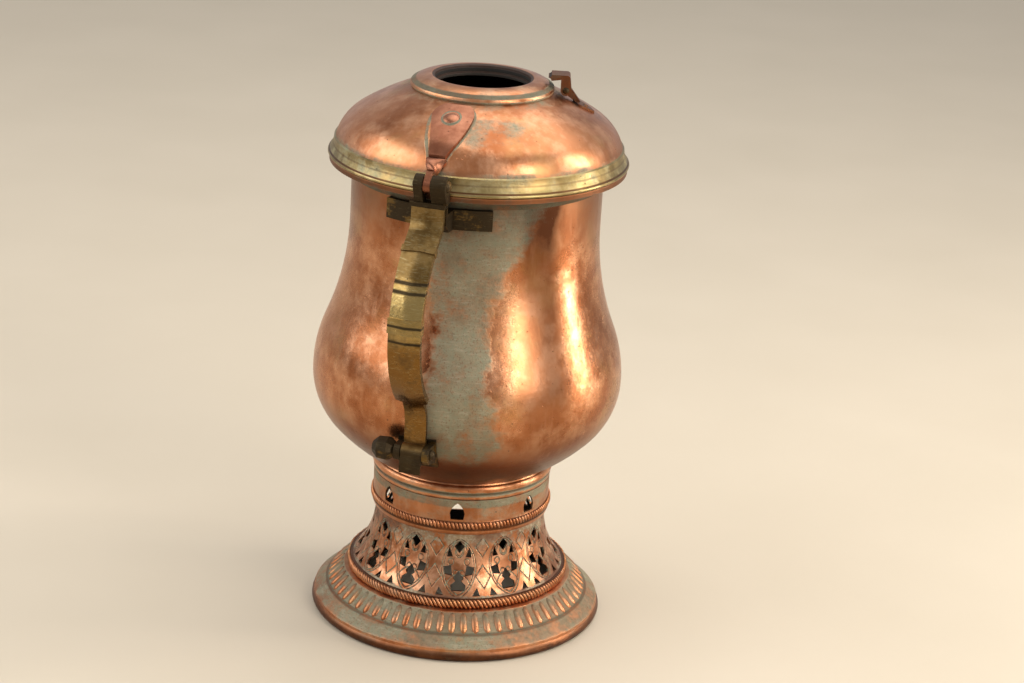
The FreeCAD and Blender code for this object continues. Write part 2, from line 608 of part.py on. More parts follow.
def leafPlate(body, name, thickness, half, tip, wide, crown, tipHalf):
    """A leaf lying on the dome: tip and crown are its two ends and wide its broadest place, as
    distances from the axis."""
    shell = domeSolid(body, f"{name}_dome")
    doc.recompute()
    sheetOver = body.newObject("PartDesign::Thickness", f"{name}_sheet")
    flats = [f"Face{i}" for i, face in enumerate(shell.Shape.Faces, start=1) if isFlat(face)]
    sheetOver.Base = (shell, flats)
    sheetOver.setExpression("Value", thickness)
    sheetOver.Reversed = False
    sheetOver.Join = 1
    trim = newSketch(body, f"{name}_outline", "XY_Plane", domeLevel)
    over = "Sizes.lidRingRadius * 2"
    outline(trim, [(f"-({over})", f"-({over})"), (over, f"-({over})"), (over, over),
                   (f"-({over})", over)], prefix="far")
    away = f"(({wide}) - ({tip}))"
    narrow = f"(({half}) - ({tipHalf}))"
    side = f"({narrow} ^ 2 + {away} ^ 2) / (2 * {narrow})"
    outline(trim, [
        (f"-({tipHalf})", f"-({tip})"),
        (tipHalf, f"-({tip})"),
        (half, f"-({wide})", side, "left"),
        ("0", f"-({crown})", "tangent"),
        (f"-({half})", f"-({wide})", "tangent"),
    ], prefix="leaf")
    cut(body, f"{name}_trim", trim, "Sizes.domeRise * 3", symmetric=True)
    return body


def tiltedSketch(body, name, reach, level, tilt, spin="0"):
    """A sketch across the handle plane at a distance and height, tilted about X and spun about its
    own normal: its x runs along +X and its y away from the axis when both angles are 0."""
    sketch = newSketch(body, name, "XY_Plane")
    turned = FreeCAD.Rotation(Vector(1, 0, 0), size(tilt)) * FreeCAD.Rotation(Vector(0, 0, 1), size(spin))
    sketch.AttachmentOffset = FreeCAD.Placement(Vector(0, 0, 0), turned)
    sketch.setExpression("AttachmentOffset.Base.y", f"-({reach})")
    sketch.setExpression("AttachmentOffset.Base.z", level)
    return sketch


def rectangle(sketch, halfWidth, halfHeight):
    return outline(sketch, [
        (f"-({halfWidth})", f"-({halfHeight})"),
        (halfWidth, f"-({halfHeight})"),
        (halfWidth, halfHeight),
        (f"-({halfWidth})", halfHeight),
    ])


def hingeLeaf():
    """The leaf on the dome, whose lower end turns on edge and becomes the hinge's tongue."""
    body = newBody("hinge_leaf")
    leafPlate(body, "leaf", "Sizes.leafThickness", "Sizes.leafWidth / 2",
              "Sizes.domeFootRadius - 3.0", "Sizes.leafTop + Sizes.leafWidth / 2", "Sizes.leafTop", "4.4")
    sections = []
    places = (
        # inward of the pin, above the pin, tilt, spin, half width, half thickness
        (10.8, 10.7, -32, 0, 5.0, 0.75),
        (7.4, 8.9, -36, 30, 4.4, 1.1),
        (5.5, 6.9, -40, 60, 3.8, 1.4),
        (3.6, 5.2, -42, 90, 3.5, 1.8),
    )
    for index, (inward, above, tilt, spin, wide, thick) in enumerate(places):
        section = tiltedSketch(body, f"twist{index}", f"Sizes.pinReach - {inward}",
                               f"{pinLevel} + {above}", str(tilt), str(spin))
        sections.append(rectangle(section, str(wide), str(thick)))
    twist = body.newObject("PartDesign::AdditiveLoft", "twist")
    twist.Profile = sections[0]
    twist.Sections = sections[1:]
    twist.Ruled = False
    eye = "(Sizes.pinRadius + 2.3)"
    tongue = outline(newSketch(body, "tongue", "YZ_Plane"), [
        ("-(Sizes.pinReach - 1.5)", f"{pinLevel} + 7.0"),
        (f"-(Sizes.pinReach + {eye} * 0.6)", f"{pinLevel} + {eye} * 0.8"),
        (f"-(Sizes.pinReach + {eye} * 0.6)", f"{pinLevel} - {eye} * 0.8", eye, "left"),
        (f"-(Sizes.pinReach - {eye} * 0.6)", f"{pinLevel} - {eye} * 0.8", eye, "left"),
        ("-(Sizes.pinReach - 6.5)", f"{pinLevel} + 2.7"),
    ])
    pad(body, "tongue_plate", tongue, "Sizes.tongueWidth", symmetric=True)
    bore = circle(newSketch(body, "eye", "YZ_Plane"), "-Sizes.pinReach", pinLevel, eyeHole)
    cut(body, "eye_hole", bore, "Sizes.tongueWidth * 3", symmetric=True)
    return body


def domeSlope(reach):
    """(height, tilt in degrees) of the dome's outside at a distance from the axis."""
    shell = doc.getObject("lid_dome").Shape
    probe = Part.makeLine(Vector(0, -reach, size(domeLevel) - 5), Vector(0, -reach, size(lipLevel) + 5))
    top = max(vertex.Z for vertex in shell.common(probe).Vertexes)
    nextProbe = probe.translated(Vector(0, 0.5, 0))
    above = max(vertex.Z for vertex in shell.common(nextProbe).Vertexes)
    return top, math.degrees(math.atan2(above - top, 0.5))


def domeRivet(label, reach, radius, thickness, angle="0"):
    """A flat dome-headed rivet square to the dome, with its shank in the leaf."""
    height, tilt = domeSlope(size(reach))
    body = newBody(label)
    lift = size(thickness)
    rise = size(radius) * 0.42
    steps = [
        ("0", "0"),
        (f"{radius}", "0"),
        (f"{radius} * 0.4", f"{rise}", f"{radius} * 1.2", "left"),
        ("0", f"{rise}"),
    ]
    revolve(body, f"{label}_head", steps)
    along = Vector(0, -math.sin(math.radians(tilt)), math.cos(math.radians(tilt)))
    place = Vector(0, -size(reach), height) + along * lift
    stand = FreeCAD.Placement(place, FreeCAD.Rotation(Vector(1, 0, 0), tilt))
    about = FreeCAD.Placement(Vector(), FreeCAD.Rotation(Vector(0, 0, 1), size(angle)))
    body.Placement = about.multiply(stand)
    return body


# ---- lid hinge --------------------------------------------------------------------------------------

ledgeLevel = f"({mouthLevel} - Sizes.ledgeDrop)"
strapTop = f"({ledgeLevel} - Sizes.ledgeThickness)"
cheekInside = "(Sizes.tongueWidth / 2 + Sizes.tongueGap)"


def cheekProfile(sketch):
    inner = "(Sizes.lidRingRadius + 0.45)"
    run = f"(Sizes.pinReach - {inner})"
    return outline(sketch, [
        (f"-{inner}", f"{ledgeLevel} - 0.4"),
        (f"-{inner}", f"{pinLevel} - sqrt(Sizes.cheekRadius ^ 2 - {run} ^ 2)"),
        ("-Sizes.pinReach", f"{pinLevel} + Sizes.cheekRadius", "Sizes.cheekRadius", "right"),
        (f"-(Sizes.pinReach + Sizes.cheekRadius * 0.96)", f"{pinLevel} - Sizes.cheekRadius * 0.28",
         "Sizes.cheekRadius", "left"),
        (f"-(Sizes.gripTopReach + 0.6)", f"{ledgeLevel} - 0.4"),
    ])


def hingeBracket():
    body = newBody("hinge_bracket")
    armTop = f"({mouldingLevel} - 0.2)"
    armFoot = f"({armTop} - Sizes.armHeight)"
    arms = outline(newSketch(body, "arm_section", "YZ_Plane"), [
        ("-Sizes.neckRadius", armFoot),
        ("-Sizes.neckRadius", armTop),
        ("-(Sizes.neckRadius + Sizes.armThickness)", armTop),
        ("-(Sizes.neckRadius + Sizes.armThickness)", armFoot),
    ])
    sweep = body.newObject("PartDesign::Revolution", "arms")
    sweep.Profile = arms
    sweep.ReferenceAxis = (arms, ["V_Axis"])
    sweep.Midplane = True
    sweep.setExpression("Angle", "Sizes.armSpan")
    clear = "(Sizes.rimMouldingRadius + 0.4)"
    back = "(Sizes.gripTopReach - Sizes.strapThickness)"
    web = outline(newSketch(body, "web_profile", "YZ_Plane"), [
        ("-(Sizes.neckRadius + 1)", armFoot),
        ("-(Sizes.neckRadius + 1)", armTop),
        (f"-{clear}", armTop),
        (f"-{clear}", ledgeLevel),
        ("-(Sizes.gripTopReach + 1.2)", ledgeLevel),
        ("-(Sizes.gripTopReach + 1.2)", strapTop),
        (f"-{back}", strapTop),
        (f"-{back}", f"{armFoot} + 5"),
        (f"-({back} - 6)", armFoot),
    ])
    pad(body, "web", web, "Sizes.strapWidth + 1.4", symmetric=True)
    left = cheekProfile(newSketch(body, "left_cheek", "YZ_Plane", f"-{cheekInside}"))
    pad(body, "left_plate", left, "Sizes.leftCheek", backwards=True)
    right = cheekProfile(newSketch(body, "right_cheek", "YZ_Plane", cheekInside))
    pad(body, "right_plate", right, "Sizes.rightCheek")
    bore = circle(newSketch(body, "pin_bore", "YZ_Plane"), "-Sizes.pinReach", pinLevel, "Sizes.pinRadius")
    cut(body, "pin_hole", bore, "Sizes.armSpan", symmetric=True)
    return body


def crossPin(label, radius, left, right, headRadius, headLength):
    """A pin along X with a low round head peened over at each end."""
    body = newBody(label)
    head = f"({headRadius})"
    profile = outline(newSketch(body, f"{label}_profile", "XZ_Plane"), [
        (f"-({left}) - {headLength}", "0"),
        (f"-({left}) - {headLength}", f"{head} * 0.4"),
        (f"-({left})", head, head, "right"),
        (f"-({left})", radius),
        (right, radius),
        (right, head),
        (f"({right}) + {headLength}", f"{head} * 0.4", head, "right"),
        (f"({right}) + {headLength}", "0"),
    ])
    turned = body.newObject("PartDesign::Revolution", label + "_turned")
    turned.Profile = profile
    turned.ReferenceAxis = (profile, ["H_Axis"])
    turned.Angle = 360
    return body


def hingePin():
    body = crossPin("hinge_pin", "Sizes.pinRadius", f"{cheekInside} + Sizes.leftCheek",
                    f"{cheekInside} + Sizes.rightCheek", "Sizes.pinRadius * 1.5", "Sizes.pinRadius * 0.7")
    body.Placement.Base = Vector(0, -size("Sizes.pinReach"), size(pinLevel))
    return body


# ---- handle -----------------------------------------------------------------------------------------

gripRun = "(Sizes.gripReach - Sizes.gripTopReach)"
gripFall = "(Sizes.gripTopLevel - Sizes.gripLevel)"
turnReach = f"(Sizes.gripTopReach + {gripRun} * Sizes.gripTurn / {gripFall})"
turnLevel = "(Sizes.gripTopLevel - Sizes.gripTurn)"
curveRun = f"(Sizes.gripReach - {turnReach})"
curveFall = f"({turnLevel} - Sizes.gripLevel)"
gripCurve = f"(({curveRun} ^ 2 + {curveFall} ^ 2) / (2 * {curveRun}))"
stepSlope = "((Sizes.gripLevel - Sizes.gripStepLevel) / (Sizes.gripReach - Sizes.gripStepReach))"
footLevel = f"(Sizes.gripStepLevel - (Sizes.gripStepReach - Sizes.gripFootReach) * {stepSlope})"


def strapSection(sketch, width, rise, depth, ridge):
    """The strap's five-sided section: two facets meet on a ridge that faces away from the vessel."""
    half = f"(({width}) / 2)"
    return outline(sketch, [
        (f"-{half}", depth),
        (f"-{half}", f"-({rise})"),
        (f"{half} * 0.1", f"-({rise}) - ({ridge})"),
        (half, f"-({rise})"),
        (half, depth),
    ])


def pipe(body, name, section, path):
    feature = body.newObject("PartDesign::AdditivePipe", name)
    feature.Profile = section
    feature.Spine = (path, [f"Edge{i + 1}" for i in range(path.GeometryCount)])
    return feature


def rib(body, name, turnAngle, width, length):
    centre = f"(Sizes.gripReach - {gripCurve})"
    reach = f"{centre} + {gripCurve} * cos({turnAngle} * 1deg)"
    level = f"Sizes.gripLevel + {gripCurve} * sin({turnAngle} * 1deg)"
    section = tiltedSketch(body, f"{name}_section", reach, level, f"-({turnAngle})")
    strapSection(section, f"{width} + 0.8", "Sizes.ribRise", "Sizes.strapThickness + 0.4", "Sizes.strapRidge")
    return pad(body, name, section, length, symmetric=True)


def handle():
    body = newBody("handle")
    path = outline(newSketch(body, "strap_path", "YZ_Plane"), [
        ("-Sizes.gripTopReach", strapTop),
        ("-Sizes.gripTopReach", "Sizes.gripTopLevel"),
        (f"-{turnReach}", turnLevel, "tangent"),
        ("-Sizes.gripReach", "Sizes.gripLevel", "tangent"),
        ("-Sizes.gripStepReach", "Sizes.gripStepLevel", "tangent"),
    ], closed=False)
    section = tiltedSketch(body, "strap_section", "Sizes.gripTopReach", strapTop, "0")
    strapSection(section, "Sizes.strapWidth", "0", "Sizes.strapThickness", "Sizes.strapRidge")
    pipe(body, "strap", section, path)
    rib(body, "upper_rib", "Sizes.upperRibTurn", "Sizes.strapWidth", "3.4")
    rib(body, "lower_rib", "Sizes.lowerRibTurn", "Sizes.strapWidth", "8")
    low = outline(newSketch(body, "arm_path", "YZ_Plane"), [
        ("-Sizes.gripFootReach", "Sizes.lowerPinLevel"),
        ("-Sizes.gripFootReach", footLevel),
        ("-Sizes.gripStepReach", "Sizes.gripStepLevel", "tangent"),
    ], closed=False)
    lowSection = tiltedSketch(body, "arm_section", "Sizes.gripFootReach", "Sizes.lowerPinLevel", "0")
    strapSection(lowSection, "Sizes.tailWidth", "-0.6", "Sizes.strapThickness", "Sizes.strapRidge * 0.6")
    pipe(body, "lower_arm", lowSection, low)
    tailTop = "Sizes.lowerPinLevel + 2"
    tip = "Sizes.lowerPinLevel - Sizes.tailDrop"
    tail = outline(newSketch(body, "tail_profile", "YZ_Plane"), [
        ("-(Sizes.lowerPinReach + 0.4)", tailTop),
        ("-(Sizes.lowerPinReach + Sizes.lowerEye * 0.8)", tailTop),
        ("-Sizes.tailReach", tip, "Sizes.tailDrop * 2.4", "left"),
        ("-(Sizes.tailReach - 1.6)", f"{tip} - 0.4"),
        ("-(Sizes.lowerPinReach + 0.4)", "Sizes.lowerPinLevel - 3", "Sizes.tailDrop * 2.2", "right"),
    ])
    pad(body, "tail", tail, "Sizes.tailWidth", symmetric=True)
    knuckle = newSketch(body, "eye_round", "YZ_Plane")
    circle(knuckle, "-Sizes.lowerPinReach", "Sizes.lowerPinLevel", "Sizes.lowerEye")
    pad(body, "eye", knuckle, "Sizes.tailWidth", symmetric=True)
    point = newSketch(body, "tail_point", "XZ_Plane")
    for side, name in ((-1, "left"), (1, "right")):
        outline(point, [
            (f"{side} * Sizes.tailWidth", "Sizes.lowerPinLevel - Sizes.lowerEye"),
            (f"{side} * Sizes.tailWidth / 2", "Sizes.lowerPinLevel - Sizes.lowerEye"),
            (f"{side} * 1.6", f"{tip} - 1", "Sizes.tailDrop * 1.5", "left" if side < 0 else "right"),
            (f"{side} * Sizes.tailWidth", f"{tip} - 1"),
        ], prefix=name)
    cut(body, "tail_sides", point, "Sizes.tailReach * 2", symmetric=True)
    bore = circle(newSketch(body, "pin_bore", "YZ_Plane"), "-Sizes.lowerPinReach",
                  "Sizes.lowerPinLevel", "Sizes.lowerPinRadius")
    cut(body, "pin_hole", bore, "Sizes.tailWidth * 3", symmetric=True)
    return body


def lowerBracket():
    """A plate that fits the belly, with two ears for the lower pin."""
    body = newBody("lower_bracket")
    belly = f"({bowlLevel} + Sizes.bellyRise)"
    shoulder = f"({bowlLevel} + Sizes.bowlShoulderRise)"
    run = "(Sizes.bellyRadius - Sizes.bowlShoulderRadius)"
    curve = f"(({run} ^ 2 + ({belly} - {shoulder}) ^ 2) / (2 * {run}))"

    def surface(level, proud):
        return f"(Sizes.bellyRadius - {curve} + sqrt(({curve} + {proud}) ^ 2 - ({belly} - ({level})) ^ 2))"

    top = "Sizes.lowerPinLevel + 6"
    foot = f"({shoulder} + 0.6)"
    plate = outline(newSketch(body, "plate_section", "YZ_Plane"), [
        (f"-{surface(foot, '0')}", foot),
        (f"-{surface(top, '0')}", top, curve, "right"),
        (f"-{surface(top, 'Sizes.lowerPlate')}", top),
        (f"-{surface(foot, 'Sizes.lowerPlate')}", foot, f"{curve} + Sizes.lowerPlate", "left"),
    ])
    sweep = body.newObject("PartDesign::Revolution", "plate")
    sweep.Profile = plate
    sweep.ReferenceAxis = (plate, ["V_Axis"])
    sweep.Midplane = True
    sweep.setExpression("Angle", "14")
    ear = "(Sizes.lowerEye + 0.5)"
    low = f"(Sizes.lowerPinLevel - {ear} - 3)"
    earTop = f"(Sizes.lowerPinLevel + {ear} * 0.8)"
    sink = "Sizes.lowerPlate * 0.6"
    for side, name in ((-1, "left"), (1, "right")):
        sketch = newSketch(body, f"{name}_ear", "YZ_Plane", f"{side} * (Sizes.tailWidth / 2 + 0.25)")
        outline(sketch, [
            (f"-{surface(low, sink)}", low),
            (f"-{surface(earTop, sink)}", earTop),
            (f"-(Sizes.lowerPinReach + {ear} * 0.6)", earTop),
            (f"-(Sizes.lowerPinReach + {ear} * 0.6)", f"Sizes.lowerPinLevel - {ear} * 0.8", ear, "left"),
        ])
        pad(body, f"{name}_plate", sketch, "Sizes.lowerEar", backwards=side < 0)
    bore = circle(newSketch(body, "pin_bore", "YZ_Plane"), "-Sizes.lowerPinReach",
                  "Sizes.lowerPinLevel", "Sizes.lowerPinRadius")
    cut(body, "pin_hole", bore, "Sizes.tailWidth * 4", symmetric=True)
    return body


def lowerPin():
    """The lower pin: an eight-sided bud for a head on the left, peened over on the right."""
    reach = "(Sizes.tailWidth / 2 + 0.25 + Sizes.lowerEar)"
    body = crossPin("lower_pin", "Sizes.lowerPinRadius", reach, reach, "Sizes.lowerPinRadius * 1.3",
                    "Sizes.lowerPinRadius * 0.9")
    sections = []
    for index, (along, across) in enumerate(((0.0, 3.6), (4.0, 6.6), (9.0, 6.2), (12.4, 3.0))):
        section = newSketch(body, f"bud{index}", "YZ_Plane", f"-{reach} - {along}")
        corners = [(math.cos(math.pi * k / 4), math.sin(math.pi * k / 4)) for k in range(8)]
        outline(section, [(f"{across} * {x:.6f}", f"{across} * {y:.6f}") for x, y in corners])
        sections.append(section)
    bud = body.newObject("PartDesign::AdditiveLoft", "bud")
    bud.Profile = sections[0]
    bud.Sections = sections[1:]
    bud.Ruled = True
    body.Placement.Base = Vector(0, -size("Sizes.lowerPinReach"), size("Sizes.lowerPinLevel"))
    return body


# ---- cap hinge --------------------------------------------------------------------------------------

capInside = "(Sizes.capTongueWidth / 2 + 0.3)"


def capLeaf():
    body = newBody("cap_leaf")
    leafPlate(body, "small_leaf", "1.1", "4.4", "Sizes.capPinReach + 15.5", "Sizes.capPinReach + 9",
              "Sizes.capPinReach + 4", "0.8")
    eye = "(Sizes.capPinRadius + 1.3)"
    tongue = outline(newSketch(body, "tongue", "YZ_Plane"), [
        (f"-(Sizes.capPinReach + {eye} * 0.8)", f"{capPinLevel} + {eye} * 0.6"),
        (f"-(Sizes.capPinReach - {eye} * 0.8)", f"{capPinLevel} + {eye} * 0.6", eye, "right"),
        (f"-(Sizes.capPinReach - {eye} * 0.8)", f"{capPinLevel} - {eye} * 0.6", eye, "right"),
        ("-(Sizes.capPinReach + 5.2)", f"{capPinLevel} - 6.4"),
        ("-(Sizes.capPinReach + 8)", f"{capPinLevel} - 6.4"),
    ])
    pad(body, "tongue_plate", tongue, "Sizes.capTongueWidth", symmetric=True)
    bore = circle(newSketch(body, "eye", "YZ_Plane"), "-Sizes.capPinReach", capPinLevel,
                  "Sizes.capPinRadius + Sizes.pinGap")
    cut(body, "eye_hole", bore, "Sizes.capTongueWidth * 3", symmetric=True)
    turn(body, "Sizes.capTurn")
    return body


def capStrap():
    """What is left of the cap's strap: two cheeks on the pin and a bent plate that leans on the collar."""
    body = newBody("cap_strap")
    eye = "(Sizes.capPinRadius + 1.6)"
    top = f"({capPinLevel} + 8)"
    for side, name in ((-1, "left"), (1, "right")):
        sketch = newSketch(body, f"{name}_cheek", "YZ_Plane", f"{side} * {capInside}")
        outline(sketch, [
            (f"-(Sizes.capPinReach - {eye})", f"{capPinLevel} + 4.4"),
            (f"-(Sizes.capPinReach - {eye})", capPinLevel),
            (f"-Sizes.capPinReach", f"{capPinLevel} - {eye}", eye, "right"),
            (f"-(Sizes.capPinReach + {eye})", capPinLevel, eye, "right"),
            (f"-(Sizes.capPinReach + {eye} * 0.8)", f"{capPinLevel} + 4.4"),
        ])
        pad(body, f"{name}_plate", sketch, f"Sizes.capStrapWidth / 2 - {capInside}", backwards=side < 0)
    bend = outline(newSketch(body, "bend", "YZ_Plane"), [
        (f"-(Sizes.capPinReach + {eye} * 0.8)", f"{capPinLevel} + 3.8"),
        (f"-(Sizes.capPinReach + {eye} * 0.7)", f"{top} - 1.6"),
        (f"-(Sizes.capPinReach + {eye} * 0.7 - 1.6)", top, "1.6", "right"),
        ("-(Sizes.collarRadius - 0.6)", top),
        ("-(Sizes.collarRadius - 2.2)", f"{top} - 1.6", "1.6", "left"),
        ("-(Sizes.collarRadius - 0.6)", f"{top} - 3.2", "1.6", "left"),
        (f"-(Sizes.capPinReach - {eye})", f"{top} - 2.4"),
        (f"-(Sizes.capPinReach - {eye})", f"{capPinLevel} + 3.8"),
    ])
    pad(body, "bent_plate", bend, "Sizes.capStrapWidth", symmetric=True)
    bore = circle(newSketch(body, "pin_bore", "YZ_Plane"), "-Sizes.capPinReach", capPinLevel,
                  "Sizes.capPinRadius")
    cut(body, "pin_hole", bore, "Sizes.capStrapWidth * 2", symmetric=True)
    turn(body, "Sizes.capTurn")
    return body


def capPin():
    half = "Sizes.capStrapWidth / 2"
    body = crossPin("cap_pin", "Sizes.capPinRadius", half, half, "Sizes.capPinRadius * 1.5",
                    "Sizes.capPinRadius * 0.7")
    stand = FreeCAD.Placement(Vector(0, -size("Sizes.capPinReach"), size(capPinLevel)), FreeCAD.Rotation())
    about = FreeCAD.Placement(Vector(), FreeCAD.Rotation(Vector(0, 0, 1), size("Sizes.capTurn")))
    body.Placement = about.multiply(stand)
    return body


def grateRivets():
    """Four rivets through the grate and the bowl's floor, as separate solids of one piece."""
    radius = size("Sizes.grateRivetRadius")
    floor = size(bowlLevel)
    grip = size("Sizes.wall + Sizes.grateThickness")
    head = radius * 1.8
    rivets = []
    for index in range(grateRivetCount):
        angle = 2 * math.pi * index / grateRivetCount
        foot = Vector(math.cos(angle), math.sin(angle), 0) * size("Sizes.grateRivetRing")
        shank = Part.makeCylinder(radius, grip, foot + Vector(0, 0, floor))
        under = Part.makeCylinder(head, radius * 0.6, foot + Vector(0, 0, floor - radius * 0.6))
        over = Part.makeCylinder(head, radius * 0.6, foot + Vector(0, 0, floor + grip))
        rivets.append(shank.fuse([under, over]).removeSplitter())
    group = doc.addObject("Part::Feature", "grate_rivets")
    group.Label = "grate_rivets"
    group.Shape = Part.makeCompound([rivet.Solids[0] for rivet in rivets])
    return group


def build():
    pieces = [footRimRing(), footSkirt(), lowerRopeRing(), piercedBand(), upperRopeRing(), ventCollar(),
              seatRing(), bodyShell(), grate(), grateRivets(), bodyRimRing(), lidRimRing(), lidDome()]
    doc.recompute()
    pieces += [
        chimneyCollar(), hingeLeaf(),
        domeRivet("hinge_leaf_rivet", "Sizes.leafRivetReach", "Sizes.leafRivetRadius", "Sizes.leafThickness"),
        hingeBracket(), hingePin(), handle(), lowerBracket(), lowerPin(), capLeaf(),
        domeRivet("cap_leaf_rivet", "Sizes.capPinReach + 10.4", "1.5", "1.1", "Sizes.capTurn"),
        capStrap(), capPin(),
    ]
    doc.recompute()
    return pieces


def export(pieces):
    broken = [item.Name for item in doc.Objects if "Invalid" in item.State or "Error" in item.State]
    if broken:
        raise RuntimeError(f"failed objects: {broken}")
    os.makedirs("parts", exist_ok=True)
    for piece in pieces:
        shape = piece.Shape
        if shape.isNull() or not shape.isValid() or not shape.Solids:
            raise RuntimeError(f"{piece.Label} is not a valid solid")
        shape.exportStep(f"parts/{piece.Label}.step")
        print(piece.Label, len(shape.Solids), "solid,", round(shape.Volume / 1000, 2), "cm3")


export(build())
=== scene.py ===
import math

import bmesh
import bpy
import numpy
from mathutils import Matrix, Vector


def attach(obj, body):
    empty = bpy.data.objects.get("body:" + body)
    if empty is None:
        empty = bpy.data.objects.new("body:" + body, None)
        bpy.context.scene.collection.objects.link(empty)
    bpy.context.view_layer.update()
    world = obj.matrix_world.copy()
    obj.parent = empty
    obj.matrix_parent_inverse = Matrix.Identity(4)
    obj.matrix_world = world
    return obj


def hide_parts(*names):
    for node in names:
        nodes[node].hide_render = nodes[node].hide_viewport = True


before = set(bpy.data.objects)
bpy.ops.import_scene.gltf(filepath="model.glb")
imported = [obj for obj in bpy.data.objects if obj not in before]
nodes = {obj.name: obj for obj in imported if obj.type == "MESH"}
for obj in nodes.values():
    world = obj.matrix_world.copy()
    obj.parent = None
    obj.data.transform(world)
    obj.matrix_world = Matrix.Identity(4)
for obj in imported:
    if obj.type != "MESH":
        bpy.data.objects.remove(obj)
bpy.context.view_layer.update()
mm = 0.001
print("frame loaded with", len(nodes), "nodes")


view = {
    "azimuth": 16.7,    # degrees from the handle towards +X
    "distance": 1.295,  # from the vessel's axis
    "height": 0.6145,
    "pitch": 19.57,     # degrees down
    "yaw": 1.03,
    "roll": 3.42,
    "lens": 89.52,
    "sensor": 36,       # mm wide
    "clip": (0.05, 30),
}


def placeCamera():
    pitch, yaw, roll, azimuth = (
        math.radians(view[name]) for name in ("pitch", "yaw", "roll", "azimuth"))
    level = math.cos(pitch)
    ahead = Vector((math.sin(yaw) * level, math.cos(yaw) * level, -math.sin(pitch)))
    right = Vector((math.cos(yaw), -math.sin(yaw), 0))
    up = right.cross(ahead)
    rolledRight = right * math.cos(roll) + up * math.sin(roll)
    rolledUp = up * math.cos(roll) - right * math.sin(roll)
    turned = Matrix.Rotation(azimuth, 3, "Z")
    axes = Matrix((turned @ rolledRight, turned @ rolledUp, turned @ -ahead)).transposed()
    place = turned @ Vector((0, -view["distance"], view["height"]))
    lens = bpy.data.cameras.new("camera")
    lens.lens = view["lens"]
    lens.sensor_width = view["sensor"]
    lens.clip_start, lens.clip_end = view["clip"]
    camera = bpy.data.objects.new("camera", lens)
    camera.matrix_world = Matrix.Translation(place) @ axes.to_4x4()
    bpy.context.collection.objects.link(camera)
    bpy.context.scene.camera = camera


softboxes = (
    # name, degrees from the handle towards +X, elevation, distance, width, height, watts, tint
    ("windowRight", 60, 24, 1.25, 0.36, 0.95, 8.5, (1.0, 0.97, 0.93)),
    ("stripRight", 108, 14, 1.10, 0.14, 1.10, 9.0, (1.0, 0.95, 0.88)),
    ("fillLeft", -62, 30, 1.60, 1.60, 1.30, 16.0, (0.95, 0.97, 1.0)),
    ("overhead", 150, 72, 1.50, 1.40, 1.40, 13.0, (1.0, 1.0, 1.0)),
)


studio = {"aim": (0, 0, 0.15), "sky": (0.80, 0.82, 0.86, 1), "skyStrength": 0.66}


def placeLights():
    aim = Vector(studio["aim"])
    for name, azimuth, elevation, distance, width, height, watts, tint in softboxes:
        turn, lift = math.radians(azimuth), math.radians(elevation)
        flat = math.cos(lift)
        towards = Vector((math.sin(turn) * flat, -math.cos(turn) * flat, math.sin(lift)))
        lamp = bpy.data.lights.new(name, "AREA")
        lamp.shape = "RECTANGLE"
        lamp.size, lamp.size_y = width, height
        lamp.energy = watts
        lamp.color = tint
        item = bpy.data.objects.new(name, lamp)
        facing = towards.to_track_quat("Z", "Y").to_matrix().to_4x4()
        item.matrix_world = Matrix.Translation(aim + towards * distance) @ facing
        bpy.context.collection.objects.link(item)
    world = bpy.data.worlds.new("studio")
    world.use_nodes = True
    sky = world.node_tree.nodes["Background"].inputs
    sky["Color"].default_value = studio["sky"]
    sky["Strength"].default_value = studio["skyStrength"]
    bpy.context.scene.world = world


placeCamera()
placeLights()
bpy.context.scene.view_settings.view_transform = "Standard"
print("camera and lights placed")


# A socket that can be calculated with: each operator adds its Math node
class Shade:
    def __init__(self, tree, socket=None):
        self.tree = tree
        self.socket = socket

    def link(self, socket, value):
        if isinstance(value, Shade):
            self.tree.links.new(value.socket, socket)
        elif socket.type == "RGBA" and len(value) == 3:
            socket.default_value = (*value, 1)
        else:
            socket.default_value = value

    def node(self, kind, settings=None, values=None, output=0):
        item = self.tree.nodes.new(kind)
        for name, value in (settings or {}).items():
            setattr(item, name, value)
        for name, value in (values or {}).items():
            self.link(item.inputs[name], value)
        return Shade(self.tree, item.outputs[output])

    def maths(self, operation, *others):
        values = dict(enumerate((self, *others)))
        return self.node("ShaderNodeMath", {"operation": operation}, values)

    def __add__(self, other):
        return self.maths("ADD", other)

    def __radd__(self, other):
        return self.maths("ADD", other)

    def __sub__(self, other):
        return self.maths("SUBTRACT", other)

    def __rsub__(self, other):
        return self.node("ShaderNodeMath", {"operation": "SUBTRACT"}, {0: other, 1: self})

    def __mul__(self, other):
        return self.maths("MULTIPLY", other)

    def __rmul__(self, other):
        return self.maths("MULTIPLY", other)

    def __truediv__(self, other):
        return self.maths("DIVIDE", other)

    def __pow__(self, other):
        return self.maths("POWER", other)

    def __neg__(self):
        return self.maths("MULTIPLY", -1.0)

    def __abs__(self):
        return self.maths("ABSOLUTE")

    def atMost(self, other):
        return self.maths("MINIMUM", other)

    def atLeast(self, other):
        return self.maths("MAXIMUM", other)

    # 0 below low, 1 above high, smooth between
    def rise(self, low, high):
        return self.node("ShaderNodeMapRange", {"interpolation_type": "SMOOTHSTEP"},
                         {"Value": self, "From Min": low, "From Max": high})

    # 1 within half of the middle, fading to 0 over soft
    def near(self, middle, half, soft):
        return 1.0 - abs(self - middle).rise(half, half + soft)

    # first where this is 0, second where it is 1; inputs 6 and 7 and output 2 are the colours
    def mix(self, first, second):
        return self.node("ShaderNodeMix", {"data_type": "RGBA"}, {0: self, 6: first, 7: second}, 2)


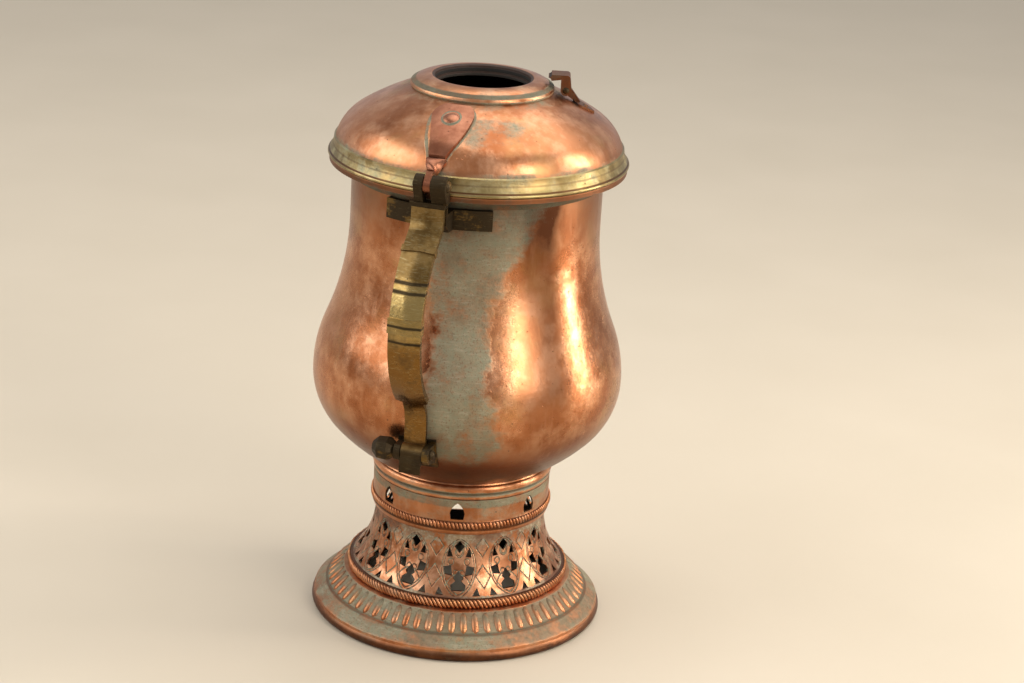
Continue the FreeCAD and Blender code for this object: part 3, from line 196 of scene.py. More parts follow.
# sRGB hex to the linear colour that a shader wants
def tone(hexCode):
    parts = [int(hexCode[i:i + 2], 16) / 255 for i in (0, 2, 4)]
    return tuple(p / 12.92 if p <= 0.04045 else ((p + 0.055) / 1.055) ** 2.4 for p in parts)


# the fields that every finish starts from
class Surface:
    def __init__(self, name):
        self.material = bpy.data.materials.new(name)
        self.material.use_nodes = True
        tree = self.material.node_tree
        self.shader = tree.nodes["Principled BSDF"]
        self.new = Shade(tree)
        self.point = self.new.node("ShaderNodeTexCoord", output="Object")
        split = self.new.node("ShaderNodeSeparateXYZ", {}, {"Vector": self.point}).socket.node
        self.x, self.y, self.z = (Shade(tree, split.outputs[i]) for i in range(3))
        facing = self.new.node("ShaderNodeTexCoord", output="Normal")
        split = self.new.node("ShaderNodeSeparateXYZ", {}, {"Vector": facing}).socket.node
        self.normalX, self.normalY = (Shade(tree, split.outputs[i]) for i in range(2))

    def radius(self):
        return (self.x * self.x + self.y * self.y).maths("SQRT")

    # the same value everywhere
    def flat(self, value):
        return self.z * 0.0 + value

    # degrees round the axis, from the handle towards +X
    def bearing(self):
        return self.x.maths("ARCTAN2", -self.y) * math.degrees(1)

    # 1 on walls that face the axis
    def inside(self):
        return (-(self.x * self.normalX + self.y * self.normalY) / self.radius()).rise(0.05, 0.3)

    def noise(self, size, detail=4.0, roughness=0.55, stretch=None, seed=0.0):
        vector = self.point
        if stretch or seed:
            vector = self.new.node("ShaderNodeMapping", {}, {
                "Vector": self.point, "Location": (seed, seed * 0.7, seed * 1.3),
                "Scale": stretch or (1, 1, 1)})
        return self.new.node("ShaderNodeTexNoise", {}, {
            "Vector": vector, "Scale": 1 / size, "Detail": detail, "Roughness": roughness})

    def cells(self, size, feature="F1"):
        return self.new.node("ShaderNodeTexVoronoi", {"feature": feature}, {
            "Vector": self.point, "Scale": 1 / size, "Randomness": 1.0}, "Distance")

    def finish(self, colour, roughness, metallic, height, depth):
        self.new.link(self.shader.inputs["Base Color"], colour)
        self.new.link(self.shader.inputs["Roughness"], roughness)
        self.new.link(self.shader.inputs["Metallic"], metallic)
        bump = self.new.node("ShaderNodeBump", {}, {"Height": height, "Distance": depth, "Strength": 1.0})
        self.new.link(self.shader.inputs["Normal"], bump)
        return self.material


copper = {
    "bright": tone("dda47c"),
    "middle": tone("c07f55"),
    "deep": tone("985b37"),
    "brown": tone("52311f"),
    "olive": tone("443f2b"),
    "tarnish": tone("b08a58"),
    "tin": tone("807b61"),
    "verdigris": tone("77826a"),
    "crust": tone("aaa993"),
    "soot": tone("17120f"),
}
rubbedCopper = ("bright", "middle", "deep")
redCopper = (tone("b97f61"), tone("9c6349"), tone("74432f"))
oliveBrass = (tone("bda676"), tone("927f52"), tone("6e5733"))


# Copper that has been rubbed, tarnished and pitted. places is a function that gives
# (patina mask, brown mask) for the piece, from the surface's own fields.
def agedCopper(name, places, gloss=0.22, hammer=0.12, patinaLevel=0.66, tarnish=0.35,
               tones=rubbedCopper):
    s = Surface(name)
    bright, middle, deep = (copper.get(item, item) for item in tones)
    cloud = s.noise(46 * mm, 5, 0.6)
    blotch = s.noise(13 * mm, 6, 0.62, seed=0.31)
    grain = s.noise(2.4 * mm, 5, 0.6, seed=0.77)
    speck = s.noise(0.9 * mm, 2, 0.5, seed=1.7)
    rub = s.noise(5 * mm, 4, 0.6, stretch=(1, 1, 0.18), seed=0.5)
    patinaPlace, brownPlace = places(s)
    metal = cloud.rise(0.34, 0.62).mix(deep, middle)
    metal = (blotch.rise(0.40, 0.72) * 0.75).mix(metal, bright)
    metal = (rub.rise(0.5, 0.75) * 0.35).mix(metal, bright)
    yellowed = s.noise(30 * mm, 4, 0.6, seed=2.1).rise(0.52, 0.70) * tarnish
    metal = yellowed.mix(metal, copper["tarnish"])
    # the brown mask holds tarnish, and on the body also a painted dark reflection and painted shade under
    # the lid ring
    brown = (brownPlace * (0.55 + blotch * 0.9)).maths("MINIMUM", 1.0)
    metal = brown.mix(metal, copper["brown"])
    pits = (1.0 - s.cells(3.6 * mm).rise(0.05, 0.16)) * grain.rise(0.50, 0.62)
    metal = (pits * 0.8).mix(metal, copper["brown"])
    streak = s.noise(1.7 * mm, 4, 0.65, stretch=(0.22, 0.22, 1.5), seed=5.0)
    ragged = patinaPlace + (blotch - 0.5) * 1.5 + (grain - 0.5) * 0.5 + (streak - 0.5) * 0.3
    patina = ragged.rise(patinaLevel - 0.34, patinaLevel + 0.34)
    patinaTone = blotch.rise(0.36, 0.60).mix(copper["tin"], copper["verdigris"])
    patinaTone = (streak.rise(0.50, 0.70) * 0.4).mix(patinaTone, copper["crust"])
    patinaTone = (cloud.rise(0.48, 0.62) * 0.5).mix(patinaTone, copper["olive"])
    # the stain turns olive where the brown mask is, which on the body includes painted shade under the lid
    # ring
    patinaTone = (brownPlace * 0.8).atMost(0.8).mix(patinaTone, copper["olive"])
    patinaTone = (speck.rise(0.58, 0.66) * 0.5).mix(patinaTone, copper["brown"])
    colour = (patina * (0.58 + grain * 0.4)).mix(metal, patinaTone)
    soot = s.inside()
    colour = (soot * 0.93).mix(colour, copper["soot"])
    roughness = (gloss + cloud * 0.10 + (grain - 0.5) * 0.14 + patina * 0.30 + brown * 0.08
                 + soot * 0.35 + pits * 0.2)
    metallic = 1.0 - patina * 0.55 - soot * 0.8
    dents = (s.cells(17 * mm, "SMOOTH_F1") + s.noise(26 * mm, 2, 0.4, seed=6.0) * 2.0) * hammer
    height = (dents + (grain - 0.5) * 0.10 + patina * (0.10 + speck * 0.12) - pits * 0.22
              + (rub - 0.5) * 0.05)
    return s.finish(colour, roughness.atMost(0.95), metallic.atLeast(0.05), height, 0.8 * mm)


# the tinned and verdigris stain beside the handle, and the browner belly; the brown mask also holds a
# painted dark reflection on the right flank and painted shade under the lid ring
def bodyPlaces(s):
    bearing, level = s.bearing(), s.z / mm
    wander = (s.noise(34 * mm, 4, 0.6, seed=3.0) - 0.5) * 24
    spread = 1.0 + level.rise(185, 245) * 0.9 + level.near(138, 10, 16) * 0.25
    stain = ((bearing + wander - 13.0 - level.rise(190, 250) * 8) / spread).near(0.0, 8.0, 11.0)
    stain = stain * level.rise(104, 124)
    backStain = (bearing + wander * 2).near(-142.0, 16.0, 26.0) * level.near(150, 40, 50) * 0.7
    edges = (level.rise(246, 253) * 0.4 + (1.0 - level.rise(90, 100)) * 0.5
             + level.near(127, 22, 20) * 0.14)
    patina = stain.atLeast(backStain).atLeast(edges)
    # painted reflection: a dark brown vertical band on the right flank
    reflected = (bearing + wander * 0.5).near(47.0, 5.0, 7.0) * level.rise(120, 150) * 0.5
    # painted shade: browner towards the top, under the lid ring
    brown = (1.0 - level.rise(98, 146)) * 0.8 + reflected + level.rise(205, 246) * 0.62
    return patina, brown


def domePlaces(s):
    bearing, reach, level = s.bearing(), s.radius() / mm, s.z / mm
    wander = (s.noise(14 * mm, 3, 0.6, seed=4.0) - 0.5) * 18
    besideLeaf = (bearing + wander).near(24.0, 10.0, 14.0)
    besideLeaf = besideLeaf * (reach + wander * 0.4).near(57.0, 5.0, 9.0) * 0.62
    along, side = -s.y / mm, abs(s.x) / mm
    crown = ((along - 49.8) ** 2.0 + side * side).maths("SQRT") - 11.0
    flank = side - (11.0 - ((along - 49.8) / 22.5) ** 2.0 * 6.6)
    upper = 1.0 - along.rise(49.7, 49.9)
    crust = (upper * crown + (1.0 - upper) * flank).near(0.3, 0.5, 0.9) * along.near(52.0, 19.0, 3.0) * 0.95
    foot = (1.0 - level.rise(266.5, 269.5)) * 0.60
    top = level.rise(289.5, 293.0) * 0.55
    patina = besideLeaf.atLeast(crust).atLeast(foot).atLeast(top)
    return patina, level.rise(290, 294) * 0.4 + (1.0 - level.rise(266, 270)) * 0.4


def footPlaces(s):
    level = s.z / mm
    border = level.near(9.8, 1.6, 2.4) * 0.6
    between = level.near(17.0, 3.6, 1.4) * 0.9
    brown = level.near(12.6, 0.3, 0.7) * 0.7 + (1.0 - level.rise(2.0, 6.0)) * 0.6
    return border.atLeast(between) + 0.24, brown


def bandPlaces(s):
    level = s.z / mm
    return level.rise(48, 56) * 0.42 + (1.0 - level.rise(27, 31)) * 0.62 + 0.22, s.flat(0.18)


def collarPlaces(s):
    level = s.z / mm
    return level.near(78.0, 1.6, 1.4) * 0.4 + 0.42, s.flat(0.22)


def seatPlaces(s):
    level = s.z / mm
    return level.near(83.4, 0.8, 1.2) * 0.62 + 0.24, level.near(83.4, 0.5, 0.8) * 0.7


def mouthPlaces(s):
    level = s.z / mm
    return level.near(250.0, 2.4, 2.0) * 0.5 + 0.20, level.near(251.0, 4.0, 2.0) * 0.8


def capPlaces(s):
    return s.flat(0.42), s.flat(0.8)


def lidRingPlaces(s):
    level = s.z / mm
    grooves = level.near(258.5, 0.2, 0.4) * 0.9 + level.near(262.0, 0.2, 0.5) * 0.4
    return level.rise(258.2, 259.4) * 0.24 + 0.18, grooves


def collarTopPlaces(s):
    level = s.z / mm
    groove = level.near(297.2, 0.5, 0.6) * 0.66
    return groove + level.near(294.2, 0.5, 0.6) * 0.55 + 0.24, groove


def rimPlaces(s):
    level = s.z / mm
    return level.rise(4.0, 6.5) * 0.15 + 0.36, (1.0 - level.rise(3.5, 7.0)) * 0.7 + 0.25


def lobePlaces(s):
    level = s.z / mm
    return level.rise(14.5, 20.0) * 0.55 + 0.20, s.flat(0.2)


def ropePlaces(s):
    return s.flat(0.20), s.flat(0.12)


# pale scale round the rivet, and browner round the level of 270 mm
def leafPlaces(s):
    rivet = ((-s.y / mm - 51.5) ** 2.0 + (s.x / mm) ** 2.0).maths("SQRT").near(4.7, 0.3, 0.5)
    return rivet * 0.95, (s.z / mm).near(270.0, 8.0, 6.0) * 0.3


# the rope's ground is dark in the grooves; below it the upper ring is rubbed bright
def groovePlaces(s):
    level = s.z / mm
    return s.flat(0.30), level.near(65.0, 2.2, 0.8).atLeast(level.near(24.8, 2.4, 0.4)) * 0.95


print("copper written")


engraving = {
    "count": 12,
    "turn": 18.0,        # degrees, to the middle of a medallion
    "footLevel": 27.4,   # of the openwork, in mm
    "height": 29.6,
    "half": 10.75,       # of a medallion's width
    "footRadius": 57.9,
    "line": 0.22,        # half width of a cut line
    "depth": 0.45 * mm,
}


# Engraved medallions between the holes of the band: a pointed double outline, a round lobe
# above, curls at the sides and diamonds between.
def engravedLines(s):
    tall, half = engraving["height"], engraving["half"]
    pitch = 360 / engraving["count"]
    share = ((s.bearing() - engraving["turn"] + 720.0) / pitch + 0.5).maths("FRACT") - 0.5
    across = abs(share) * (2 * math.pi * engraving["footRadius"] / engraving["count"])
    up = s.z / mm - engraving["footLevel"]
    bend = (half ** 2 + (tall / 2) ** 2) / (2 * half)

    def ringAt(x, y, radius):
        away = ((across - x) * (across - x) + (up - y) * (up - y)).maths("SQRT")
        return abs(away - radius)

    # a diamond midway between two medallions
    def diamond(y, width, height):
        return abs(abs(across - 15.15) / width + abs(up - y) / height - 1.0) * width * 0.7

    def cut(distance):
        return 1.0 - distance.rise(engraving["line"] * 0.5, engraving["line"] * 2.2)

    outline = ((across + (bend - half)) ** 2.0 + (up - tall / 2) ** 2.0).maths("SQRT") - bend
    lines = cut(abs(outline)).atLeast(cut(abs(outline + 1.25)))
    inner = 1.0 - outline.rise(-0.2, 0.2)
    lobe = cut(ringAt(0.0, 22.0, 2.7)).atLeast(cut(ringAt(0.0, 22.0, 1.9)))
    curls = cut(ringAt(5.1, 17.0, 1.7)).atLeast(cut(ringAt(1.9, 11.3, 1.5)))
    arcs = cut(ringAt(0.0, 3.4, 7.4)).atLeast(cut(ringAt(8.6, 26.0, 4.6)))
    strokes = cut(diamond(9.6, 4.6, 5.6)).atLeast(cut(diamond(24.8, 4.6, 5.4)))
    lines = lines.atLeast(inner * lobe.atLeast(curls).atLeast(arcs)).atLeast((1.0 - inner) * strokes)
    return lines * up.rise(0.4, 1.0) * (1.0 - up.rise(tall - 0.6, tall))


def engravedCopper(name):
    s = Surface(name)
    cloud = s.noise(22 * mm, 5, 0.6, seed=0.4)
    blotch = s.noise(7 * mm, 6, 0.62, seed=0.9)
    grain = s.noise(1.6 * mm, 5, 0.6, seed=1.9)
    level = s.z / mm
    lines = engravedLines(s)
    metal = cloud.rise(0.36, 0.62).mix(copper["deep"], copper["middle"])
    metal = blotch.rise(0.45, 0.66).mix(metal, copper["bright"])
    # painted highlight: the copper is brighter on the side facing the camera
    facing = s.bearing().near(14.0, 18.0, 40.0)
    metal = (facing * 0.45 * blotch.rise(0.3, 0.6)).mix(metal, copper["bright"])
    dull = (level.rise(44, 57) * 0.5 + (1.0 - level.rise(27, 30)) * 0.7 + 0.12
            + (blotch - 0.5) * 1.3 + (grain - 0.5) * 0.5).rise(0.38, 0.66)
    greyed = grain.rise(0.45, 0.66).mix(copper["tin"], copper["crust"])
    greyed = cloud.rise(0.42, 0.60).mix(greyed, copper["brown"])
    colour = (dull * 0.78).mix(metal, greyed)
    colour = (0.16 + cloud.rise(0.42, 0.62) * 0.34).mix(colour, copper["brown"])
    filled = grain.rise(0.42, 0.60).mix(copper["brown"], copper["verdigris"])
    colour = (lines * 0.88).mix(colour, filled)
    soot = s.inside()
    colour = (soot * 0.92).mix(colour, copper["soot"])
    roughness = 0.30 + cloud * 0.10 + (grain - 0.5) * 0.16 + dull * 0.22 + lines * 0.2 + soot * 0.3
    metallic = 1.0 - dull * 0.5 - lines * 0.35 - soot * 0.7
    height = (grain - 0.5) * 0.14 + (blotch - 0.5) * 0.10 - lines * 0.7
    return s.finish(colour, roughness.atMost(0.95), metallic.atLeast(0.08), height, engraving["depth"])


brass = {
    "bright": tone("e4d5a2"),
    "gold": tone("dcbd78"),
    "middle": tone("a5834c"),
    "olive": tone("775a2c"),
    "umber": tone("7a5427"),
    "dark": tone("3d2e1a"),
    "black": tone("1c160e"),
}


# Cast brass: brushed along the strap, dark where a hand never rubs it, and darkened further by a painted
# shade mask where one is given
def castBrass(name, darkness=0.2, coarse=1.0, shadeMask=None):
    s = Surface(name)
    cloud = s.noise(11 * mm, 5, 0.62, seed=0.2)
    grain = s.noise(1.3 * mm, 5, 0.6, seed=0.6)
    brushed = s.noise(1.3 * mm, 5, 0.7, stretch=(0.22, 1.0, 1.7), seed=1.1)
    scratch = s.noise(0.6 * mm, 2, 0.5, stretch=(0.10, 0.6, 1.3), seed=2.3)
    metal = cloud.rise(0.40, 0.60).mix(brass["olive"], brass["middle"])
    metal = (brushed.rise(0.50, 0.70) * 0.3).mix(metal, brass["bright"])
    dirtAndShade = (darkness + (cloud - 0.5) * 1.3 + (brushed - 0.5) * 0.35).rise(0.12, 0.62)
    if shadeMask:
        metal = ((s.z / mm).near(203.0, 10.0, 6.0) * 0.35).mix(metal, brass["gold"])
        metal = ((s.z / mm).near(155.0, 27.0, 8.0) * 0.8).mix(metal, brass["umber"])
        # painted shade of the recesses joins the dirt
        dirtAndShade = dirtAndShade.atLeast(shadeMask(s))
    metal = (dirtAndShade * 0.85).mix(metal, brass["dark"])
    metal = (dirtAndShade.rise(0.72, 0.92) * 0.7).mix(metal, brass["black"])
    metal = (scratch.rise(0.62, 0.70) * (1.0 - dirtAndShade * 0.8) * 0.2).mix(metal, brass["bright"])
    holes = 1.0 - s.cells(3.1 * mm).rise(0.05, 0.16)
    metal = (holes * grain.rise(0.5, 0.6) * 0.85).mix(metal, brass["black"])
    roughness = 0.24 + dirtAndShade * 0.28 + (grain - 0.5) * 0.2 - brushed.rise(0.5, 0.7) * 0.06
    swell = s.noise(6 * mm, 2, 0.5, seed=3.1)
    height = (brushed - 0.5) * 0.09 * coarse + (grain - 0.5) * 0.08 + swell * 0.7 - holes * 0.22 * coarse
    return s.finish(metal, roughness.atLeast(0.16), 1.0 - dirtAndShade * 0.15, height, 0.35 * mm)


# painted shade: dark lines at the strap's two ribs, its top and its lower step
def strapPaintedShade(s):
    level = s.z / mm
    lines = level.near(217.5, 0.5, 1.0).atLeast(level.near(213.0, 0.5, 1.0))
    lines = lines.atLeast(level.near(196.6, 0.4, 0.9)).atLeast(level.near(188.2, 0.4, 0.9))
    lines = lines.atLeast(1.0 - level.rise(121, 132)) * 0.9
    return lines.atLeast(level.rise(217.5, 221.0) * 0.55)


# painted shade: the cheeks are painted nearly black, the arms of the bracket less so
def cheekPaintedShade(s):
    return (1.0 - (abs(s.x) / mm).rise(8.0, 12.0)) * 0.9


def sootyIron(name):
    s = Surface(name)
    cloud = s.noise(9 * mm, 5, 0.6)
    grain = s.noise(1.1 * mm, 4, 0.6, seed=0.8)
    colour = cloud.rise(0.4, 0.62).mix(tone("1d1a17"), tone("3b332b"))
    colour = (grain.rise(0.55, 0.68) * 0.6).mix(colour, tone("6a4a33"))
    roughness = 0.72 + (grain - 0.5) * 0.3
    return s.finish(colour, roughness, 0.45 + cloud * 0.2, grain + cloud * 0.5, 0.3 * mm)


copperBody = agedCopper("copperBody", bodyPlaces)
copperDome = agedCopper("copperDome", domePlaces, gloss=0.27, hammer=0.14)
copperSkirt = agedCopper("copperSkirt", footPlaces, gloss=0.34, hammer=0.1, patinaLevel=0.60)
copperRim = agedCopper("copperRim", rimPlaces, gloss=0.30, hammer=0.15, patinaLevel=0.72)
copperLobes = agedCopper("copperLobes", lobePlaces, gloss=0.30, hammer=0.1, patinaLevel=0.58)
copperRope = agedCopper("copperRope", ropePlaces, gloss=0.28, hammer=0.1, patinaLevel=0.62)
ropeGroove = agedCopper("ropeGroove", groovePlaces, gloss=0.30, hammer=0.1, patinaLevel=0.60)
copperBand = engravedCopper("copperBand")
copperVents = agedCopper("copperVents", collarPlaces, gloss=0.30, hammer=0.15, patinaLevel=0.60)
copperSeat = agedCopper("copperSeat", seatPlaces, gloss=0.26, hammer=0.1, patinaLevel=0.58)
brownCopper = agedCopper("brownCopper", capPlaces, gloss=0.32, hammer=0.1, patinaLevel=0.62)
darkMouth = agedCopper("darkMouth", mouthPlaces, gloss=0.34, hammer=0.1, patinaLevel=0.56)
tinnedRing = agedCopper("tinnedRing", lidRingPlaces, gloss=0.30, hammer=0.1, patinaLevel=0.66, tarnish=0.5,
                        tones=oliveBrass)
copperCollar = agedCopper("copperCollar", collarTopPlaces, gloss=0.26, hammer=0.1, patinaLevel=0.56)
copperLeaf = agedCopper("copperLeaf", leafPlaces, gloss=0.30, hammer=0.15, patinaLevel=0.72, tarnish=0.2,
                        tones=redCopper)
brassHandle = castBrass("brassHandle", shadeMask=strapPaintedShade)
bracketBrass = castBrass("bracketBrass", darkness=0.56, coarse=1.3, shadeMask=cheekPaintedShade)
darkBrass = castBrass("darkBrass", darkness=0.52, coarse=1.3)
greyIron = castBrass("greyIron", darkness=0.6, coarse=2.5)
blackIron = sootyIron("blackIron")
print("finishes written")


finishOf = {
    "foot_rim_ring": copperRim, "foot_skirt": copperSkirt, "lower_rope_ring": ropeGroove,
    "pierced_band": copperBand, "upper_rope_ring": ropeGroove, "vent_collar": copperVents,
    "seat_ring": copperSeat, "body_shell": copperBody, "grate": blackIron, "grate_rivets": blackIron,
    "body_rim_ring": darkMouth, "lid_rim_ring": tinnedRing, "lid_dome": copperDome,
    "chimney_collar": copperCollar, "hinge_leaf": copperLeaf, "hinge_leaf_rivet": copperLeaf,
    "hinge_bracket": bracketBrass, "hinge_pin": darkBrass, "handle": brassHandle,
    "lower_bracket": darkBrass, "lower_pin": greyIron, "cap_leaf": brownCopper,
    "cap_leaf_rivet": brownCopper, "cap_strap": brownCopper, "cap_pin": darkBrass,
}
for name, finish in finishOf.items():
    slots = nodes[name].material_slots
    for slot in slots:
        slot.material = finish
    if not slots:
        nodes[name].data.materials.append(finish)
print("packed pieces finished")


# One tree for everything that goes round the axis
def roundTree():
    tree = bpy.data.node_groups.new("roundTheAxis", "GeometryNodeTree")
    sockets = {}
    for name, kind in (("Count", "Int"), ("Radius", "Float"), ("Level", "Float"), ("Uneven", "Float"),
                       ("Seed", "Int"), ("Piece", "Object"), ("Finish", "Material")):
        socket = tree.interface.new_socket(name=name, in_out="INPUT", socket_type="NodeSocket" + kind)
        sockets[name] = socket.identifier
    tree.interface.new_socket(name="Geometry", in_out="OUTPUT", socket_type="NodeSocketGeometry")
    given = tree.nodes.new("NodeGroupInput").outputs

    def add(kind, settings, links):
        item = tree.nodes.new(kind)
        for name, value in settings.items():
            setattr(item, name, value)
        for name, value in links.items():
            if isinstance(value, bpy.types.NodeSocket):
                tree.links.new(value, item.inputs[name])
            else:
                item.inputs[name].default_value = value
        return item.outputs

    index = add("GeometryNodeInputIndex", {}, {})[0]
    share = add("ShaderNodeMath", {"operation": "DIVIDE"}, {0: index, 1: given["Count"]})[0]
    angle = add("ShaderNodeMath", {"operation": "MULTIPLY"}, {0: share, 1: 2 * math.pi})[0]
    cosine = add("ShaderNodeMath", {"operation": "COSINE"}, {0: angle})[0]
    sine = add("ShaderNodeMath", {"operation": "SINE"}, {0: angle})[0]
    alongX = add("ShaderNodeMath", {"operation": "MULTIPLY"}, {0: cosine, 1: given["Radius"]})[0]
    alongY = add("ShaderNodeMath", {"operation": "MULTIPLY"}, {0: sine, 1: given["Radius"]})[0]
    place = add("ShaderNodeCombineXYZ", {}, {"X": alongX, "Y": alongY, "Z": given["Level"]})[0]
    points = add("GeometryNodePoints", {}, {"Count": given["Count"], "Position": place})[0]
    facing = add("ShaderNodeCombineXYZ", {}, {"Z": angle})[0]
    facing = add("FunctionNodeEulerToRotation", {}, {0: facing})[0]
    least = add("ShaderNodeMath", {"operation": "SUBTRACT"}, {0: 1.0, 1: given["Uneven"]})[0]
    spread = add("FunctionNodeRandomValue", {"data_type": "FLOAT"}, {"Seed": given["Seed"]})
    tree.links.new(least, spread[1].node.inputs[2])
    spread[1].node.inputs[3].default_value = 1.0
    piece = add("GeometryNodeObjectInfo", {}, {"Object": given["Piece"]})
    copies = add("GeometryNodeInstanceOnPoints", {}, {
        "Points": points, "Instance": piece["Geometry"], "Rotation": facing, "Scale": spread[1]})[0]
    solid = add("GeometryNodeRealizeInstances", {}, {"Geometry": copies})[0]
    done = add("GeometryNodeSetMaterial", {}, {"Geometry": solid, "Material": given["Finish"]})[0]
    tree.links.new(done, tree.nodes.new("NodeGroupOutput").inputs[0])
    return tree, sockets


roundTheAxis, roundSocket = roundTree()


def addObject(name, mesh):
    item = bpy.data.objects.new(name, mesh)
    bpy.context.collection.objects.link(item)
    return item


def plainMesh(item):
    bpy.context.view_layer.update()
    shape = bpy.data.meshes.new_from_object(item.evaluated_get(bpy.context.evaluated_depsgraph_get()))
    item.modifiers.clear()
    item.data = shape
    return item


# copies of one piece round the axis, turned into a plain mesh that rides a body
def goRound(name, piece, values, finish, body):
    item = addObject(name, bpy.data.meshes.new(name))
    modifier = item.modifiers.new("round", "NODES")
    modifier.node_group = roundTheAxis
    for key, value in {**values, "Piece": piece, "Finish": finish}.items():
        modifier[roundSocket[key]] = value
    plainMesh(item)
    bpy.data.objects.remove(piece)
    for face in item.data.polygons:
        face.use_smooth = True
    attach(item, body)
    print(name, len(item.data.polygons), "faces")
    return item


def template(name, build):
    mesh = bpy.data.meshes.new(name)
    form = bmesh.new()
    build(form)
    bmesh.ops.remove_doubles(form, verts=form.verts, dist=1e-6)
    bmesh.ops.recalc_face_normals(form, faces=form.faces)
    form.to_mesh(mesh)
    form.free()
    return addObject(name, mesh)


softening = {
    "join": 0.002 * mm,
    "smoothBelow": 32,   # degrees between two faces that are shaded as one
    "bevelAbove": 38,
    "segments": 2,
}
ventCount = 7
rivetHead = {"wide": 1.4, "flat": 0.62}


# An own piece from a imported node's mesh: corners joined, edges rounded by width, and
# moved by a matrix where the node's own place or size is a little off.
def softened(nodeName, name, finish, body, width=0.0, move=None):
    form = bmesh.new()
    form.from_mesh(nodes[nodeName].data)
    bmesh.ops.remove_doubles(form, verts=form.verts, dist=softening["join"])
    if move:
        bmesh.ops.transform(form, matrix=move, verts=form.verts)
    limit = math.radians(softening["smoothBelow"])
    for edge in form.edges:
        edge.smooth = len(edge.link_faces) == 2 and edge.calc_face_angle() < limit
    mesh = bpy.data.meshes.new(name)
    form.to_mesh(mesh)
    form.free()
    mesh.materials.clear()
    mesh.materials.append(finish)
    for face in mesh.polygons:
        face.use_smooth = True
        face.material_index = 0
    item = addObject(name, mesh)
    if width:
        bevel = item.modifiers.new("roundEdges", "BEVEL")
        bevel.width, bevel.segments = width, softening["segments"]
        bevel.limit_method, bevel.angle_limit = "ANGLE", math.radians(softening["bevelAbove"])
        bevel.harden_normals = True
    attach(item, body)
    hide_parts(nodeName)
    return item


# The head of the leaf's rivet is wider than its node, and flatter
def widerHead(nodeName, wide, flat):
    places = numpy.array([corner.co for corner in nodes[nodeName].data.vertices])
    middle = Vector(places.mean(axis=0))
    axis = Vector(numpy.linalg.svd(places - places.mean(axis=0))[2][2])
    grow = Matrix.Scale(wide, 4) @ Matrix.Scale(flat, 4, axis)
    return Matrix.Translation(middle) @ grow @ Matrix.Translation(-middle)


halfPitch = Matrix.Rotation(math.pi / ventCount, 4, "Z")
softened("vent_collar", "arched_vent_collar", copperVents, "vessel", move=halfPitch)
softened("hinge_leaf_rivet", "leaf_rivet_head", copperLeaf, "lid",
         move=widerHead("hinge_leaf_rivet", rivetHead["wide"], rivetHead["flat"]))
softened("handle", "cast_handle", brassHandle, "vessel", width=0.55 * mm)
softened("hinge_bracket", "cast_hinge_bracket", bracketBrass, "vessel", width=0.45 * mm)
softened("lower_bracket", "cast_lower_bracket", darkBrass, "vessel", width=0.4 * mm)
softened("lower_pin", "forged_lower_pin", greyIron, "vessel", width=0.5 * mm)
print("softened pieces built")


gadroon = {
    "count": 68,
    "outer": (71.3, 13.0),   # reach and level of a lobe's lower end, in mm
    "inner": (62.9, 21.0),
    "width": 0.68,           # share of the pitch
    "proud": 0.95,
    "sunk": 0.45,
    "depth": 0.8,            # of a lobe's keel under its edge
    "steps": 10,
    "across": 8,
}


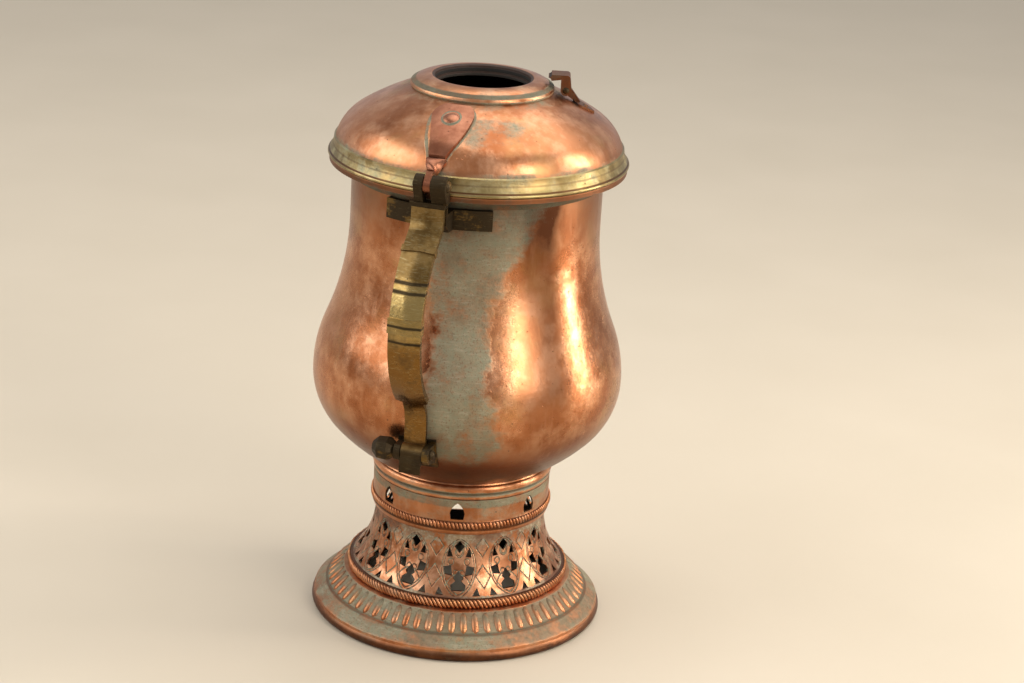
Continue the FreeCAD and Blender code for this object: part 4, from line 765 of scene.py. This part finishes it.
def gadroonLobe(form):
    (outReach, outLevel), (inReach, inLevel) = gadroon["outer"], gadroon["inner"]
    slope = Vector((inReach - outReach, inLevel - outLevel)).normalized()
    away = Vector((slope.y, -slope.x))
    rows = []
    for i in range(gadroon["steps"] + 1):
        share = i / gadroon["steps"]
        reach = outReach + (inReach - outReach) * share
        level = outLevel + (inLevel - outLevel) * share
        end = max(1 - abs(2 * share - 1) ** 3.2, 0.0) ** 0.5
        half = math.pi * reach / gadroon["count"] * gadroon["width"] * (0.25 + 0.75 * end)
        row = []
        for j in range(gadroon["across"] + 1):
            side = 2 * j / gadroon["across"] - 1
            lift = (gadroon["proud"] * end * math.cos(side * math.pi / 2) ** 0.8
                    - gadroon["sunk"] * abs(side) ** 6)
            corner = Vector((reach + away.x * lift, half * side, level + away.y * lift))
            row.append(form.verts.new(corner * mm))
        rows.append(row)
    depth = away * gadroon["depth"] * mm
    under = [form.verts.new(Vector((row[0].co.x - depth.x, 0, row[0].co.z - depth.y))) for row in rows]
    for low, high, a, b in zip(rows, rows[1:], under, under[1:]):
        for j in range(gadroon["across"]):
            form.faces.new((low[j], low[j + 1], high[j + 1], high[j]))
        form.faces.new((a, low[0], high[0], b))
        form.faces.new((low[-1], a, b, high[-1]))
    for row, middle in ((rows[0], under[0]), (rows[-1], under[-1])):
        for j in range(gadroon["across"]):
            form.faces.new((row[j], middle, row[j + 1]))


goRound("skirt_gadroons", template("lobe", gadroonLobe),
        {"Count": gadroon["count"], "Radius": 0.0, "Level": 0.0, "Uneven": 0.0, "Seed": 3},
        copperLobes, "vessel")


# slanted strands round the two rope rings, in mm and degrees
ropes = {
    "lower_rope_strands": {"count": 168, "reach": 59.7, "level": 24.85,
                           "long": 3.3, "wide": 1.05, "thick": 1.5, "lean": 34},
    "upper_rope_strands": {"count": 150, "reach": 48.4, "level": 65.4,
                           "long": 2.35, "wide": 1.0, "thick": 1.25, "lean": 24},
}


def strand(rope):
    def build(form):
        bmesh.ops.create_uvsphere(form, u_segments=8, v_segments=6, radius=1.0)
        size = Matrix.Diagonal((rope["thick"] * mm, rope["wide"] * mm, rope["long"] * mm, 1))
        lean = Matrix.Rotation(math.radians(rope["lean"]), 4, "X")
        bmesh.ops.transform(form, matrix=lean @ size, verts=form.verts)
    return build


for name, rope in ropes.items():
    goRound(name, template("strand", strand(rope)),
            {"Count": rope["count"], "Radius": rope["reach"] * mm, "Level": rope["level"] * mm,
             "Uneven": 0.12, "Seed": 5}, copperRope, "vessel")


floorHalf = 4.0   # metres
floorMesh = bpy.data.meshes.new("floor")
form = bmesh.new()
bmesh.ops.create_grid(form, x_segments=2, y_segments=2, size=floorHalf)
form.to_mesh(floorMesh)
form.free()
floor = addObject("floor", floorMesh)
s = Surface("paleFloor")
haze = s.noise(120 * mm, 3, 0.5)
s.finish(haze.mix(tone("c6b79f"), tone("cebfa8")), 0.6 + haze * 0.1, 0.0, haze, 0.2 * mm)
floor.data.materials.append(s.material)

print("scene ready")
